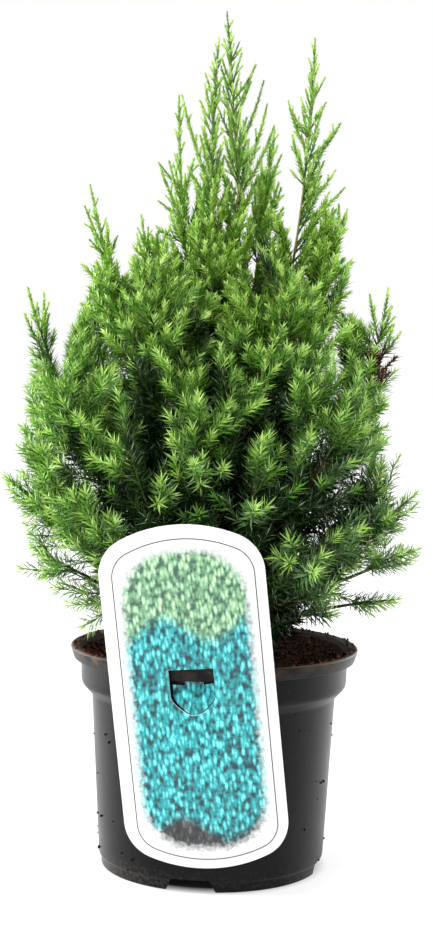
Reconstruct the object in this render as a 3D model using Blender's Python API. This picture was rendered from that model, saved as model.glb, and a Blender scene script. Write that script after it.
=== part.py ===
"""A Stricta juniper in its nursery pot, with a hang label clipped to the pot's lip.

Metres, +Z up. The origin is the centre of the pot's foot on the ground, and the
label faces -Y. Sizes below are in millimetres and are turned to metres by MM.
"""

import math
import random

import bmesh
import bpy
import numpy as np
from mathutils import Matrix, Vector

MM = 0.001
GAP = 0.3  # air between neighbouring pieces

# Pot: a thin-walled 13 cm nursery pot
POT_SIDES = 32
POT_HEIGHT = 100.0
LIP_RADIUS = 65.0
LIP_DROP = 5.7  # height of the turned-down lip
WALL = 1.4
COLLAR_RADIUS = 60.0
COLLAR_FOOT = 82.6
WALL_TOP_RADIUS = 55.0
WALL_TOP = 78.0
FOOT_RADIUS = 49.6
FOOT_HEIGHT = 4.2
WALL_FOOT_RADIUS = 50.9
FLOOR = 6.4  # underside of the raised floor
NOTCH_COUNT = 4
NOTCH_TURN = -10.0  # degrees from the front, to the left
NOTCH_TOP_WIDTH = 17.0
NOTCH_FOOT_WIDTH = 22.0
NOTCH_HEIGHT = 5.6
DRAIN_RADIUS = 4.0
DRAIN_CIRCLE = 36.0

# Soil
SOIL_EDGE = 94.6
SOIL_MOUND = 2.6
SOIL_PAD_RADIUS = 10.0

# Label: a thin plastic plate with round ends and a tongue that hooks under the lip
LABEL_WIDTH = 71.0
LABEL_HEIGHT = 149.0
LABEL_THICKNESS = 0.6
LABEL_END_RADIUS = 61.0
LABEL_CORNER_RADIUS = 17.0
LABEL_MIDDLE = 87.4  # height of the plate's middle
LABEL_YAW = -11.0  # degrees round the pot, to the left
LABEL_SLIDE = 4.0
LABEL_TILT = 5.5
LABEL_LEAN = 5.5  # the top leans out over the lip
LABEL_TOUCH = LIP_RADIUS + 0.7
WINDOW_WIDTH = 19.4
WINDOW_FOOT = 6.0
WINDOW_HEIGHT = 6.7
TONGUE_WIDTH = 19.2
TONGUE_STEM = 8.0
TONGUE_SHOULDER = 0.8
TONGUE_FOOT = -7.2

# Trunk: foot, lean and taper, as (x, y, height, radius)
TRUNK = [
    (0.0, 2.0, SOIL_EDGE + SOIL_MOUND + GAP, 7.6),
    (0.1, 2.0, 101.0, 6.1),
    (0.5, 1.8, 106.0, 5.2),
    (1.4, 1.4, 122.0, 4.7),
    (2.8, 0.8, 150.0, 4.2),
    (4.6, 0.6, 185.0, 3.6),
    (5.4, 0.4, 220.0, 2.9),
    (6.6, 0.2, 258.0, 2.2),
    (7.2, 0.0, 300.0, 1.4),
]
TRUNK_SIDES = 8

# Growth
SEED = 11
GOLDEN_ANGLE = math.radians(137.5)
SHOOT_SPACING = 21.5
SHOOT_ANGLE = 42.0  # degrees between a shoot's root and its stem
SHOOT_LIFT = 0.16
LOW, HIGH = 240.0, 345.0  # heights between which long spreading needles give way to short close ones
CORE_RADIUS = (1.15, 0.85)  # each pair: below LOW, above HIGH
WHORL_SPACING = (8.8, 7.4)
NEEDLE = (10.2, 6.4)
NEEDLE_ANGLE = (50.0, 36.0)  # degrees from the shoot, at its foot
NEEDLE_TIP_ANGLE = 26.0
TRIES = 4  # turns by the golden angle that a shoot may take to find room
SHORTEST_SHOOT = 1.75  # in needles
SHOOT_NECK = 4.0  # a shoot's root, without needles
SHOOT_CONE = 6.0  # its pointed end
CELL_MARGIN = 3.8
NEEDLE_MARGIN = 0.5

# Each limb: height of its fork, tip (x, y, z), length and elevation of its last reach,
# bare share (above 0: that share is the bough; below 0: no bough, and the stem itself
# leaves the trunk and is bare so far), length of its shoots, and the tips that the
# crown's outline is known by.
LIMBS = {
    "leader_main": (300, (0.2, -1, 382), 34, 84, 0, 17,
                    [(13.5, -3, 359), (18.8, 3, 343), (17.0, -5, 330)]),
    "leader_second": (212, (-3.1, -6, 370), 88, 95, -0.36, 18, [(-4.0, -12, 330)]),
    "leader_third": (190, (-20.5, 5, 346), 80, 89, -0.46, 20, [(-29.0, 5, 316), (-24.0, 10, 302)]),
    "leader_right": (172, (39.4, 0, 371.5), 105, 89, 0.50, 22,
                     [(27.6, -2, 343), (45.0, 2, 343), (51.6, 4, 335)]),
    "leader_left": (146, (-59.3, 0, 305.6), 58, 78, 0.46, 24,
                    [(-60.3, 2, 281), (-48.9, 3, 283), (-62.1, -4, 270)]),
    "leader_mid": (178, (-36.7, 8, 293), 50, 82, -0.40, 22, [(-39.0, 2, 277)]),
    "inner_right": (206, (22.6, 6, 332), 60, 84, -0.30, 22, [(29.0, 0, 316), (14.0, 9, 318)]),
    "upper_right": (144, (55.8, 5, 297), 52, 76, 0.42, 26, [(59.0, 0, 274), (47.0, 12, 285)]),
    "shoulder_left": (131, (-68.0, 16, 262), 56, 76, 0.44, 28, [(-62.0, 4, 256)]),
    "far_left": (120, (-86.3, -2, 259.4), 62, 76, 0.46, 30,
                 [(-75.4, 5, 242), (-87.3, -6, 229), (-87.5, 4, 206)]),
    "far_right": (123, (74.7, 0, 262.5), 62, 85, 0.46, 30,
                  [(81.0, -3, 242.5), (62.2, 5, 248.5), (79.3, 3, 232), (76.0, -4, 211)]),
    "side_left": (112, (-97.3, -4, 176.2), 40, 36, 0.44, 32, [(-91.5, 0, 198.5), (-92.9, -8, 165)]),
    "low_left": (104.5, (-85.5, -8, 145), 36, 28, 0.42, 30,
                 [(-88.5, -2, 154.5), (-81.2, -12, 131), (-61.0, -25, 109.5)]),
    "side_right": (117, (91.0, 0, 171.8), 42, 45, 0.42, 32,
                   [(82.0, 3, 188), (77.0, -3, 201), (86.4, -4, 153.6)]),
    "low_right": (110, (93.5, -6, 146.7), 40, 24, 0.40, 30, [(87.5, -12, 138.4), (80, 2, 152)]),
    "base_right": (102.5, (84.5, -10, 123.6), 45, 6, 0.38, 24, [(78.0, -14, 114), (53.0, -17, 117)]),
    "front_left": (115, (-38.0, -60, 197), 46, 68, 0.32, 34, []),
    "front_centre": (121, (-9.0, -66, 218), 50, 70, 0.34, 34, []),
    "front_right": (110, (18.0, -66, 200), 50, 68, 0.32, 34, []),
    "front_side_right": (135, (55.0, -50, 212), 50, 66, 0.36, 34, []),
    "front_side_left": (141, (-70.0, -38, 220), 50, 68, 0.38, 34, []),
    "front_low_right": (105, (48.0, -52, 156), 36, 46, 0.34, 30, []),
    "front_low_left": (107, (-56.0, -46, 164), 36, 46, 0.34, 30, []),
    "front_upper_left": (158, (-34.0, -36, 262), 54, 76, -0.34, 32, []),
    "front_upper_right": (154, (31.0, -36, 266), 54, 76, -0.34, 32, []),
    "back_left": (125, (-54.0, 56, 222), 50, 68, 0.38, 34, []),
    "back_centre": (112, (-4.0, 76, 198), 46, 58, 0.38, 36, []),
    "back_right": (119, (56.0, 56, 226), 50, 68, 0.38, 34, []),
    "back_upper_left": (170, (-24.0, 42, 276), 54, 76, -0.34, 32, []),
    "back_upper_right": (166, (24.0, 44, 284), 54, 76, -0.34, 32, []),
    "back_low_left": (108, (-62.0, 52, 146), 36, 30, 0.40, 32, []),
    "back_low_right": (103.5, (62.0, 52, 142), 36, 30, 0.40, 32, []),
}
LIMB_STEPS = 24
BOUGH_SIDES = 4
BOUGH_STEPS = 3
BOUGH_TIP_RADIUS = 1.25
ROOT_FIT = 0.8  # share of the root radius by which a root face comes nearer the trunk


def clear_scene():
    for obj in list(bpy.data.objects):
        bpy.data.objects.remove(obj, do_unlink=True)


def make_material(name, colour, roughness, metallic=0.0):
    material = bpy.data.materials.new(name)
    material.use_nodes = True
    shader = material.node_tree.nodes["Principled BSDF"]
    shader.inputs["Base Color"].default_value = (*colour, 1.0)
    shader.inputs["Roughness"].default_value = roughness
    shader.inputs["Metallic"].default_value = metallic
    return material


def object_from_bmesh(bm, name, material, smooth_angle=None):
    """A mesh object from millimetres, scaled to metres."""
    bmesh.ops.scale(bm, vec=Vector((MM, MM, MM)), verts=bm.verts)
    bmesh.ops.recalc_face_normals(bm, faces=bm.faces)
    mesh = bpy.data.meshes.new(name)
    bm.to_mesh(mesh)
    bm.free()
    mesh.materials.append(material)
    if smooth_angle is not None:
        mesh.shade_smooth()
        mesh.set_sharp_from_angle(angle=math.radians(smooth_angle))
    obj = bpy.data.objects.new(name, mesh)
    bpy.context.collection.objects.link(obj)
    return obj


def turned(profile, sides):
    """A closed body turned round Z from (radius, height) points, both ends on the axis."""
    bm = bmesh.new()
    rings = []
    for radius, height in profile:
        if radius == 0:
            rings.append([bm.verts.new((0, 0, height))])
            continue
        rings.append([
            bm.verts.new((radius * math.sin(turn), -radius * math.cos(turn), height))
            for turn in (math.tau * k / sides for k in range(sides))
        ])
    for lower, upper in zip(rings, rings[1:]):
        for k in range(sides):
            corners = [lower[k % len(lower)], lower[(k + 1) % len(lower)],
                       upper[(k + 1) % len(upper)], upper[k % len(upper)]]
            bm.faces.new(list(dict.fromkeys(corners)))
    return bm


def cut(obj, cutter, name):
    cutter.hide_render = True
    cutter.display_type = "WIRE"
    modifier = obj.modifiers.new(name, "BOOLEAN")
    modifier.operation = "DIFFERENCE"
    modifier.solver = "EXACT"
    modifier.object = cutter


def make_pot():
    skirt_top = POT_HEIGHT - 2.4
    skirt_foot = POT_HEIGHT - LIP_DROP
    skirt_outer = LIP_RADIUS - 1.6
    inner_floor = FLOOR + WALL
    profile = [
        (0, FLOOR), (FOOT_RADIUS - 1.8, FLOOR), (FOOT_RADIUS - 1.6, 0), (FOOT_RADIUS, 0),
        (FOOT_RADIUS + 0.3, FOOT_HEIGHT), (WALL_FOOT_RADIUS, FOOT_HEIGHT + 1.0),
        (WALL_TOP_RADIUS, WALL_TOP), (COLLAR_RADIUS - 0.6, COLLAR_FOOT),
        (COLLAR_RADIUS, COLLAR_FOOT + 2.0), (COLLAR_RADIUS + 0.2, skirt_foot),
        (COLLAR_RADIUS + 0.5, skirt_top), (skirt_outer - 0.5, skirt_top),
        (skirt_outer - 1.0, skirt_foot), (skirt_outer, skirt_foot),
        (LIP_RADIUS, POT_HEIGHT - 0.7), (LIP_RADIUS - 0.7, POT_HEIGHT),
        (COLLAR_RADIUS + 0.2, POT_HEIGHT), (COLLAR_RADIUS - 0.8, POT_HEIGHT - 1.0),
        (COLLAR_RADIUS - WALL, COLLAR_FOOT + 1.4), (WALL_TOP_RADIUS - WALL, WALL_TOP + 1.0),
        (FOOT_RADIUS - 0.4, inner_floor), (0, inner_floor),
    ]
    pot = object_from_bmesh(turned(profile, POT_SIDES), "pot",
                            make_material("pot plastic", (0.022, 0.023, 0.026), 0.42), 35)
    cut(pot, make_notch_cutter(), "foot notches")
    cut(pot, make_drain_cutter(), "drain holes")
    return pot


def make_notch_cutter():
    """Wedges through the foot, wider at the ground."""
    bm = bmesh.new()
    low, high = -2.0, NOTCH_HEIGHT
    slope = (NOTCH_FOOT_WIDTH - NOTCH_TOP_WIDTH) / 2 / NOTCH_HEIGHT
    for k in range(NOTCH_COUNT):
        turn = Matrix.Rotation(math.radians(NOTCH_TURN) + math.tau * k / NOTCH_COUNT, 3, "Z")
        corners = []
        for z in (low, high):
            half = NOTCH_TOP_WIDTH / 2 + slope * (high - z)
            corners += [turn @ Vector((x, y, z)) for x, y in
                        ((-half, -56), (half, -56), (half, -42), (-half, -42))]
        verts = [bm.verts.new(corner) for corner in corners]
        for face in ((0, 1, 2, 3), (4, 5, 6, 7), (0, 1, 5, 4), (1, 2, 6, 5), (2, 3, 7, 6), (3, 0, 4, 7)):
            bm.faces.new([verts[i] for i in face])
    return object_from_bmesh(bm, "notch_cutter", bpy.data.materials["pot plastic"])


def make_drain_cutter():
    bm = bmesh.new()
    for k in range(NOTCH_COUNT):
        turn = math.radians(NOTCH_TURN) + math.tau * k / NOTCH_COUNT
        place = Vector((DRAIN_CIRCLE * math.sin(turn), -DRAIN_CIRCLE * math.cos(turn), FLOOR + WALL / 2))
        bmesh.ops.create_cone(bm, cap_ends=True, segments=10, radius1=DRAIN_RADIUS,
                              radius2=DRAIN_RADIUS, depth=6.0, matrix=Matrix.Translation(place))
    return object_from_bmesh(bm, "drain_cutter", bpy.data.materials["pot plastic"])


def make_soil():
    """Fills the pot to just under its lip, with a low mound round a flat pad at the trunk."""
    rng = random.Random(SEED)
    edge = COLLAR_RADIUS - WALL - GAP - 0.25
    profile = [
        (0, FLOOR + WALL + GAP), (FOOT_RADIUS - 1.1, FLOOR + WALL + GAP),
        (WALL_TOP_RADIUS - WALL - GAP - 0.35, WALL_TOP + 0.6), (edge, SOIL_EDGE - 0.8),
    ]
    top = SOIL_EDGE + SOIL_MOUND
    for share in (0.8, 0.58, 0.36):
        profile.append((edge * share, top - SOIL_MOUND * share ** 1.5))
    profile += [(SOIL_PAD_RADIUS, top), (0, top)]
    bm = turned(profile, POT_SIDES)
    for vert in bm.verts:
        radius = math.hypot(vert.co.x, vert.co.y)
        if SOIL_PAD_RADIUS + 1 < radius < edge - 1 and vert.co.z > COLLAR_FOOT + 4:
            vert.co.z += rng.uniform(-0.9, 0.7)
    return object_from_bmesh(bm, "soil", make_material("peat", (0.09, 0.035, 0.02), 0.95), 50)


def arc(centre, radius, start, end, steps):
    return [
        (centre[0] + radius * math.cos(turn), centre[1] + radius * math.sin(turn))
        for turn in (math.radians(start + (end - start) * k / steps) for k in range(steps + 1))
    ]


def label_outline():
    """Straight sides, round corners and shallow domed ends, running anticlockwise."""
    half_width, half_height = LABEL_WIDTH / 2, LABEL_HEIGHT / 2
    dome_centre = half_height - LABEL_END_RADIUS
    corner_x = half_width - LABEL_CORNER_RADIUS
    corner_y = dome_centre + math.sqrt((LABEL_END_RADIUS - LABEL_CORNER_RADIUS) ** 2 - corner_x ** 2)
    meet = math.degrees(math.atan2(corner_y - dome_centre, corner_x))
    top = arc((corner_x, corner_y), LABEL_CORNER_RADIUS, 0, meet, 4)
    top += arc((0, dome_centre), LABEL_END_RADIUS, meet, 180 - meet, 8)[1:-1]
    top += arc((-corner_x, corner_y), LABEL_CORNER_RADIUS, 180 - meet, 180, 4)
    return top + [(-x, -y) for x, y in top]


def plate(outline, thickness, name, material, hole=None):
    """A flat plate, cut from a filled curve, that stands in the XZ plane with its face to -Y."""
    curve = bpy.data.curves.new(name, "CURVE")
    curve.dimensions = "2D"
    curve.fill_mode = "BOTH"
    curve.extrude = thickness / 2 * MM
    for points in (outline, hole):
        if not points:
            continue
        spline = curve.splines.new("POLY")
        spline.points.add(len(points) - 1)
        for point, (x, y) in zip(spline.points, points):
            point.co = (x * MM, y * MM, 0, 1)
        spline.use_cyclic_u = True
    flat = bpy.data.objects.new(name + "_curve", curve)
    bpy.context.collection.objects.link(flat)
    bpy.context.view_layer.update()
    mesh = bpy.data.meshes.new_from_object(flat.evaluated_get(bpy.context.evaluated_depsgraph_get()))
    bpy.data.objects.remove(flat, do_unlink=True)
    bpy.data.curves.remove(curve)
    bm = bmesh.new()
    bm.from_mesh(mesh)
    bpy.data.meshes.remove(mesh)
    bmesh.ops.remove_doubles(bm, verts=bm.verts, dist=1e-6)
    bmesh.ops.triangulate(bm, faces=bm.faces)
    bmesh.ops.scale(bm, vec=Vector((1 / MM, 1 / MM, 1 / MM)), verts=bm.verts)
    bmesh.ops.rotate(bm, verts=bm.verts, matrix=Matrix.Rotation(math.radians(90), 3, "X"))
    return object_from_bmesh(bm, name, material)


def label_place():
    """Turns a point of the upright plate, in millimetres, to its place on the pot."""
    lean = Matrix.Rotation(math.radians(LABEL_LEAN), 4, "X")
    tilt = Matrix.Rotation(math.radians(-LABEL_TILT), 4, "Y")
    yaw = Matrix.Rotation(math.radians(LABEL_YAW), 4, "Z")
    hang = LABEL_MIDDLE - (POT_HEIGHT - LIP_DROP / 2)
    middle = Matrix.Translation((LABEL_SLIDE, 0, hang))
    touch = Matrix.Translation((0, -LABEL_TOUCH, 0))
    return Matrix.Translation((0, 0, LABEL_MIDDLE - hang)) @ yaw @ touch @ lean @ middle @ tilt


def make_label():
    """The plate with its window, and the tongue that leans back from its foot to hook under the lip."""
    white = make_material("label plastic", (0.87, 0.88, 0.88), 0.35)
    half = WINDOW_WIDTH / 2
    hole = [(half, WINDOW_FOOT + WINDOW_HEIGHT), (-half, WINDOW_FOOT + WINDOW_HEIGHT),
            (-half, TONGUE_SHOULDER), (-1.5, TONGUE_FOOT), (1.5, TONGUE_FOOT), (half, TONGUE_SHOULDER)]
    label = plate(label_outline(), LABEL_THICKNESS, "label", white, hole)
    side, stem = TONGUE_WIDTH / 2 - 0.5, TONGUE_STEM / 2
    tongue_outline = [(-1.2, TONGUE_FOOT - 1.0), (1.2, TONGUE_FOOT - 1.0), (1.4, TONGUE_FOOT + 0.5),
                      (side, TONGUE_SHOULDER + 0.4), (side, WINDOW_FOOT - 0.6), (stem, WINDOW_FOOT - 1.2),
                      (stem - 0.4, WINDOW_FOOT + 3.5), (0.4 - stem, WINDOW_FOOT + 3.5),
                      (-stem, WINDOW_FOOT - 1.2), (-side, WINDOW_FOOT - 0.6),
                      (-side, TONGUE_SHOULDER + 0.4), (-1.4, TONGUE_FOOT + 0.5)]
    tongue = plate(tongue_outline, LABEL_THICKNESS, "tongue", white)
    back = math.radians(18)
    hinge = TONGUE_FOOT - 1.0
    for vert in tongue.data.vertices:
        rise = max(vert.co.z / MM - hinge, 0)
        vert.co.y += min(rise * math.tan(back), 3.9 + rise * 0.02) * MM
    union = label.modifiers.new("tongue", "BOOLEAN")
    union.operation = "UNION"
    union.solver = "EXACT"
    union.object = tongue
    apply_modifiers(label)
    bpy.data.objects.remove(tongue, do_unlink=True)
    place = label_place()
    for vert in label.data.vertices:
        vert.co = place @ (vert.co / MM) * MM
    return label


def apply_modifiers(obj):
    bpy.context.view_layer.update()
    graph = bpy.context.evaluated_depsgraph_get()
    mesh = bpy.data.meshes.new_from_object(obj.evaluated_get(graph))
    obj.modifiers.clear()
    old = obj.data
    obj.data = mesh
    bpy.data.meshes.remove(old)


class Path:
    """A polyline that is read by the length along it."""

    def __init__(self, points):
        self.points = [Vector(p) for p in points]
        self.marks = [0.0]
        for a, b in zip(self.points, self.points[1:]):
            self.marks.append(self.marks[-1] + (b - a).length)
        self.length = self.marks[-1]

    def at(self, distance):
        distance = min(max(distance, 0.0), self.length)
        k = 1
        while self.marks[k] < distance and k < len(self.marks) - 1:
            k += 1
        span = self.marks[k] - self.marks[k - 1]
        return self.points[k - 1].lerp(self.points[k], (distance - self.marks[k - 1]) / span)

    def heading(self, distance):
        reach = 0.5
        return (self.at(distance + reach) - self.at(distance - reach)).normalized()

    def stretch(self, start, end, steps):
        return [self.at(start + (end - start) * k / steps) for k in range(steps + 1)]


TRUNK_PATH = Path([row[:3] for row in TRUNK])


def trunk_radius(height):
    return float(np.interp(height, [row[2] for row in TRUNK], [row[3] for row in TRUNK]))


def trunk_point(height):
    heights = [row[2] for row in TRUNK]
    return Vector([float(np.interp(height, heights, [row[i] for row in TRUNK])) for i in range(3)])


class Limb:
    """One bough and the stem of the mass that it carries, along one curve from the trunk to the tip."""

    def __init__(self, name, fork, tip, lead, elevation, bare, shoot, tips):
        self.name, self.shoot, self.tips = name, shoot, tips
        root, tip = trunk_point(fork), Vector(tip)
        out = Vector((tip.x - root.x, tip.y - root.y, 0)).normalized()
        rise = math.radians(elevation)
        approach = tip - lead * (out * math.cos(rise) + Vector((0, 0, math.sin(rise))))
        leave = root + Vector((
            0.45 * (approach.x - root.x), 0.45 * (approach.y - root.y), 0.3 * (approach.z - root.z)))
        curve = []
        for k in range(LIMB_STEPS + 1):
            t = k / LIMB_STEPS
            curve.append((1 - t) ** 3 * root + 3 * t * (1 - t) ** 2 * leave
                         + 3 * t * t * (1 - t) * approach + t ** 3 * tip)
        self.path = Path(curve)
        self.root_radius = 1.3 + 0.009 * self.path.length if bare > 0 else CORE_RADIUS[0]
        self.start = GAP if fork >= TRUNK[-1][2] else self.first_clear_of_trunk()
        self.bough_end = self.path.length * bare if bare > 0 else None
        self.foliage = self.bough_end + GAP if bare > 0 else self.start
        self.bare_stem = SHOOT_NECK + max(-bare, 0) * self.path.length
        self.spines = []

    def first_clear_of_trunk(self):
        """How far along the curve its root face, square to the curve, stands clear of the trunk."""
        mark, gap = 0.0, 0.0
        while gap < GAP:
            mark += 0.05
            point = self.path.at(mark)
            arm = point - trunk_point(point.z)
            arm.z = 0
            lean = self.path.heading(mark).dot(arm.normalized())
            gap = arm.length - trunk_radius(point.z) - ROOT_FIT * self.root_radius * math.sqrt(1 - lean * lean)
        return mark

    def bough_points(self):
        return self.path.stretch(self.start, self.bough_end, BOUGH_STEPS)


def segment_distances(point, starts, ends):
    """Distance from one point to each of many segments."""
    along = ends - starts
    share = ((point - starts) * along).sum(1) / np.maximum((along * along).sum(1), 1e-9)
    nearest = starts + np.clip(share, 0, 1)[:, None] * along
    return np.sqrt(((point - nearest) ** 2).sum(1))


class Field:
    """Every stretch of wood by its owner, so that each mass can be kept to its own space."""

    def __init__(self):
        self.starts, self.ends, self.owners, self.radii = [], [], [], []
        self.arrays = None

    def add(self, points, owner, radius):
        for a, b in zip(points, points[1:]):
            self.starts.append(a)
            self.ends.append(b)
            self.owners.append(owner)
            self.radii.append(radius)
        self.arrays = None

    def distances(self, point):
        if self.arrays is None:
            self.arrays = (np.array([tuple(v) for v in self.starts]), np.array([tuple(v) for v in self.ends]),
                           np.array(self.owners), np.array(self.radii))
        starts, ends, owners, radii = self.arrays
        return segment_distances(np.array(tuple(point)), starts, ends) - radii, owners

    def is_own(self, point, owner, margin):
        away, owners = self.distances(point)
        others = away[owners != owner]
        return away[owners == owner].min() + margin < (others.min() if len(others) else 1e9)

    def is_clear(self, point, margin):
        return self.distances(point)[0].min() > margin


LABEL_PLACE = label_place()
LABEL_PLACE_BACK = LABEL_PLACE.inverted()


def is_free(point, margin):
    """True outside the pot, the soil and the label, and behind the label's plate."""
    radius = math.hypot(point.x, point.y)
    if radius < COLLAR_RADIUS - 2 and point.z < SOIL_EDGE + SOIL_MOUND + 0.6 + margin:
        return False
    if COLLAR_RADIUS - 2 <= radius < LIP_RADIUS + margin + 1 and point.z < POT_HEIGHT + 0.6 + margin:
        return False
    if point.z < SOIL_EDGE + 2:
        return False
    local = LABEL_PLACE_BACK @ point
    beside = abs(local.x) > LABEL_WIDTH / 2 + 2 or local.z > LABEL_HEIGHT / 2 + 2
    return beside or local.y > LABEL_THICKNESS + 0.8 + margin


def shoot_spine(root, tip, along):
    """A shoot that leaves its stem widely and turns along it towards its tip."""
    way = tip - root
    side = (way - along * way.dot(along)) * 0.10
    return [root, root.lerp(tip, 0.35) + side * 0.8, root.lerp(tip, 0.7) + side * 0.7, tip]


def fits(spine, limb_index, cells, wood):
    """True where a shoot's spine keeps to its mass's own space and clear of trunk and boughs."""
    path = Path(spine)
    steps = max(3, int(path.length / 4))
    for k in range(1, steps + 1):
        point = path.at(path.length * k / steps)
        if not (is_free(point, CORE_RADIUS[0]) and cells.is_own(point, limb_index, CELL_MARGIN)
                and wood.is_clear(point, CORE_RADIUS[0] + 0.6)):
            return False
    return True


def grow_shoot(index, limb, mark, tip, cells, wood):
    """Adds the shoot to a tip, or a shorter one on the same line, where it fits."""
    root = limb.path.at(mark)
    for share in (1.0, 0.8, 0.62):
        end = root.lerp(tip, share)
        spine = shoot_spine(root, end, limb.path.heading(mark))
        shortest = SHORTEST_SHOOT * by_height(NEEDLE, end.z)
        if (end - root).length > shortest and fits(spine, index, cells, wood):
            limb.spines.append(spine)
            return True
    return False


def grow_mass(index, limb, cells, wood):
    """The spines of one mass: its stem, shoots to the known tips, then shoots by the golden angle."""
    rng = random.Random(SEED * 100 + index)
    path = limb.path
    first = limb.foliage + limb.bare_stem
    limb.spines.append(path.stretch(limb.foliage, path.length, 12))
    for tip in limb.tips:
        tip = Vector(tip)
        near = min((k * path.length / 60 for k in range(61)), key=lambda d: (path.at(d) - tip).length)
        mark = max(first, near - 1.25 * (path.at(near) - tip).length)
        grow_shoot(index, limb, mark, tip, cells, wood)
    mark = first + rng.uniform(0, 6)
    turn = rng.uniform(0, math.tau)
    while mark < path.length - 0.8 * limb.shoot:
        share = (mark - first) / (path.length - first)
        length = limb.shoot * (1.25 - 0.6 * share) * rng.uniform(0.88, 1.12)
        along = path.heading(mark)
        angle = math.radians(SHOOT_ANGLE + rng.uniform(-7, 7))
        for _ in range(TRIES):
            side = along.orthogonal().normalized()
            side.rotate(Matrix.Rotation(turn, 3, along))
            turn += GOLDEN_ANGLE
            way = (along * math.cos(angle) + side * math.sin(angle) + Vector((0, 0, SHOOT_LIFT))).normalized()
            if grow_shoot(index, limb, mark, path.at(mark) + way * length, cells, wood):
                break
        mark += SHOOT_SPACING * (1.1 - 0.4 * share)


def by_height(pair, height):
    return float(np.interp(height, (LOW, HIGH), pair))


def rings_along(bm, points, radii, sides, turn_each=0.0):
    """Rings of vertices square to a path, each turned on from the last."""
    path = Path(points)
    side = path.heading(0).orthogonal().normalized()
    rings = []
    for k, (point, radius) in enumerate(zip(path.points, radii)):
        along = path.heading(path.marks[k])
        side = (side - along * side.dot(along)).normalized()
        ring = []
        for n in range(sides):
            arm = side.copy()
            arm.rotate(Matrix.Rotation(math.tau * n / sides + turn_each * k, 3, along))
            ring.append(bm.verts.new(point + arm * radius))
        rings.append(ring)
    return rings, path


def tube(points, radii, sides):
    """A tapering limb with flat ends."""
    bm = bmesh.new()
    rings, _ = rings_along(bm, points, radii, sides)
    for lower, upper in zip(rings, rings[1:]):
        for k in range(sides):
            bm.faces.new((lower[k], lower[(k + 1) % sides], upper[(k + 1) % sides], upper[k]))
    bm.faces.new(rings[0][::-1])
    bm.faces.new(rings[-1])
    return bm


def ring_marks(length, neck, spacing):
    """Where a spray's rings stand: along its bare neck, then one to a whorl, then its pointed end."""
    marks = [neck * k / max(1, math.ceil(neck / 14)) for k in range(math.ceil(neck / 14))]
    body = length - neck - SHOOT_CONE
    count = max(1, round(body / spacing))
    return marks + [neck + body * k / count for k in range(count + 1)] + [length]


def spray(points, slim, keep, neck):
    """A slim core of whorls turned 60 degrees from one another, its faces drawn out to needles."""
    bm = bmesh.new()
    height = points[-1].z
    length = Path(points).length
    marks = ring_marks(length, neck, by_height(WHORL_SPACING, height))
    path = Path([Path(points).at(mark) for mark in marks])
    radius = by_height(CORE_RADIUS, height) * slim
    radii = [radius * (1.0 - 0.5 * mark / length) for mark in marks]
    rings, _ = rings_along(bm, path.points[:-1], radii, 3, math.radians(60))
    point = bm.verts.new(path.points[-1])
    bm.faces.new(rings[0][::-1])
    for k, lower in enumerate(rings):
        share = marks[k] / length
        along = (path.points[k + 1] - path.points[k]).normalized()
        wide = by_height(NEEDLE_ANGLE, height)
        angle = math.radians(wide + (NEEDLE_TIP_ANGLE - wide) * share)
        reach = by_height(NEEDLE, height) * (1 - 0.2 * share)
        for n in range(3):
            a, b = lower[n], lower[(n + 1) % 3]
            if k == len(rings) - 1:
                bm.faces.new((a, b, point))
                continue
            upper = rings[k + 1]
            for corners in ((a, b, upper[n]), (b, upper[(n + 1) % 3], upper[n])):
                centre = sum((v.co for v in corners), Vector()) / 3
                out = centre - path.points[k]
                out = (out - along * out.dot(along)).normalized()
                apex = centre + (out * math.sin(angle) + along * math.cos(angle)) * reach
                if marks[k] < neck - 0.01 or not (keep(centre.lerp(apex, 0.5)) and keep(apex)):
                    bm.faces.new(corners)
                    continue
                peak = bm.verts.new(apex)
                for v, w in zip(corners, corners[1:] + corners[:1]):
                    bm.faces.new((v, w, peak))
    return bm


def keep_outer_shell(obj):
    """Fills sealed hollows and drops loose scraps: only the largest shell stays."""
    bm = bmesh.new()
    bm.from_mesh(obj.data)
    left, shells = set(bm.verts), []
    while left:
        todo, shell = [left.pop()], []
        while todo:
            vert = todo.pop()
            shell.append(vert)
            for edge in vert.link_edges:
                other = edge.other_vert(vert)
                if other in left:
                    left.remove(other)
                    todo.append(other)
        shells.append(shell)
    shells.sort(key=len)
    for shell in shells[:-1]:
        bmesh.ops.delete(bm, geom=shell, context="VERTS")
    bmesh.ops.triangulate(bm, faces=bm.faces)
    bm.to_mesh(obj.data)
    bm.free()


def join_by_union(base, pieces):
    collection = bpy.data.collections.new(base.name + "_pieces")
    bpy.context.scene.collection.children.link(collection)
    for piece in pieces:
        bpy.context.collection.objects.unlink(piece)
        collection.objects.link(piece)
    union = base.modifiers.new("union", "BOOLEAN")
    union.operation = "UNION"
    union.operand_type = "COLLECTION"
    union.solver = "MANIFOLD"
    union.collection = collection
    apply_modifiers(base)
    for piece in pieces:
        bpy.data.objects.remove(piece, do_unlink=True)
    bpy.data.collections.remove(collection)
    keep_outer_shell(base)


def make_mass(index, limb, spines, wood, material):
    """One mass: the stem and every spray, fused to one solid."""
    def keep(point):
        return (is_free(point, 0.4) and wood.is_clear(point, GAP + 0.3)
                and spines.is_own(point, index, NEEDLE_MARGIN))

    first, pieces = None, []
    for k, spine in enumerate(limb.spines):
        neck = SHOOT_NECK if k else limb.bare_stem
        bm = spray(spine, 0.85 if k else 1.0, keep, neck)
        piece = object_from_bmesh(bm, f"mass_{limb.name}_{k}" if k else "mass_" + limb.name, material)
        if k == 0:
            first = piece
        else:
            pieces.append(piece)
    if pieces:
        join_by_union(first, pieces)
    return first


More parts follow.
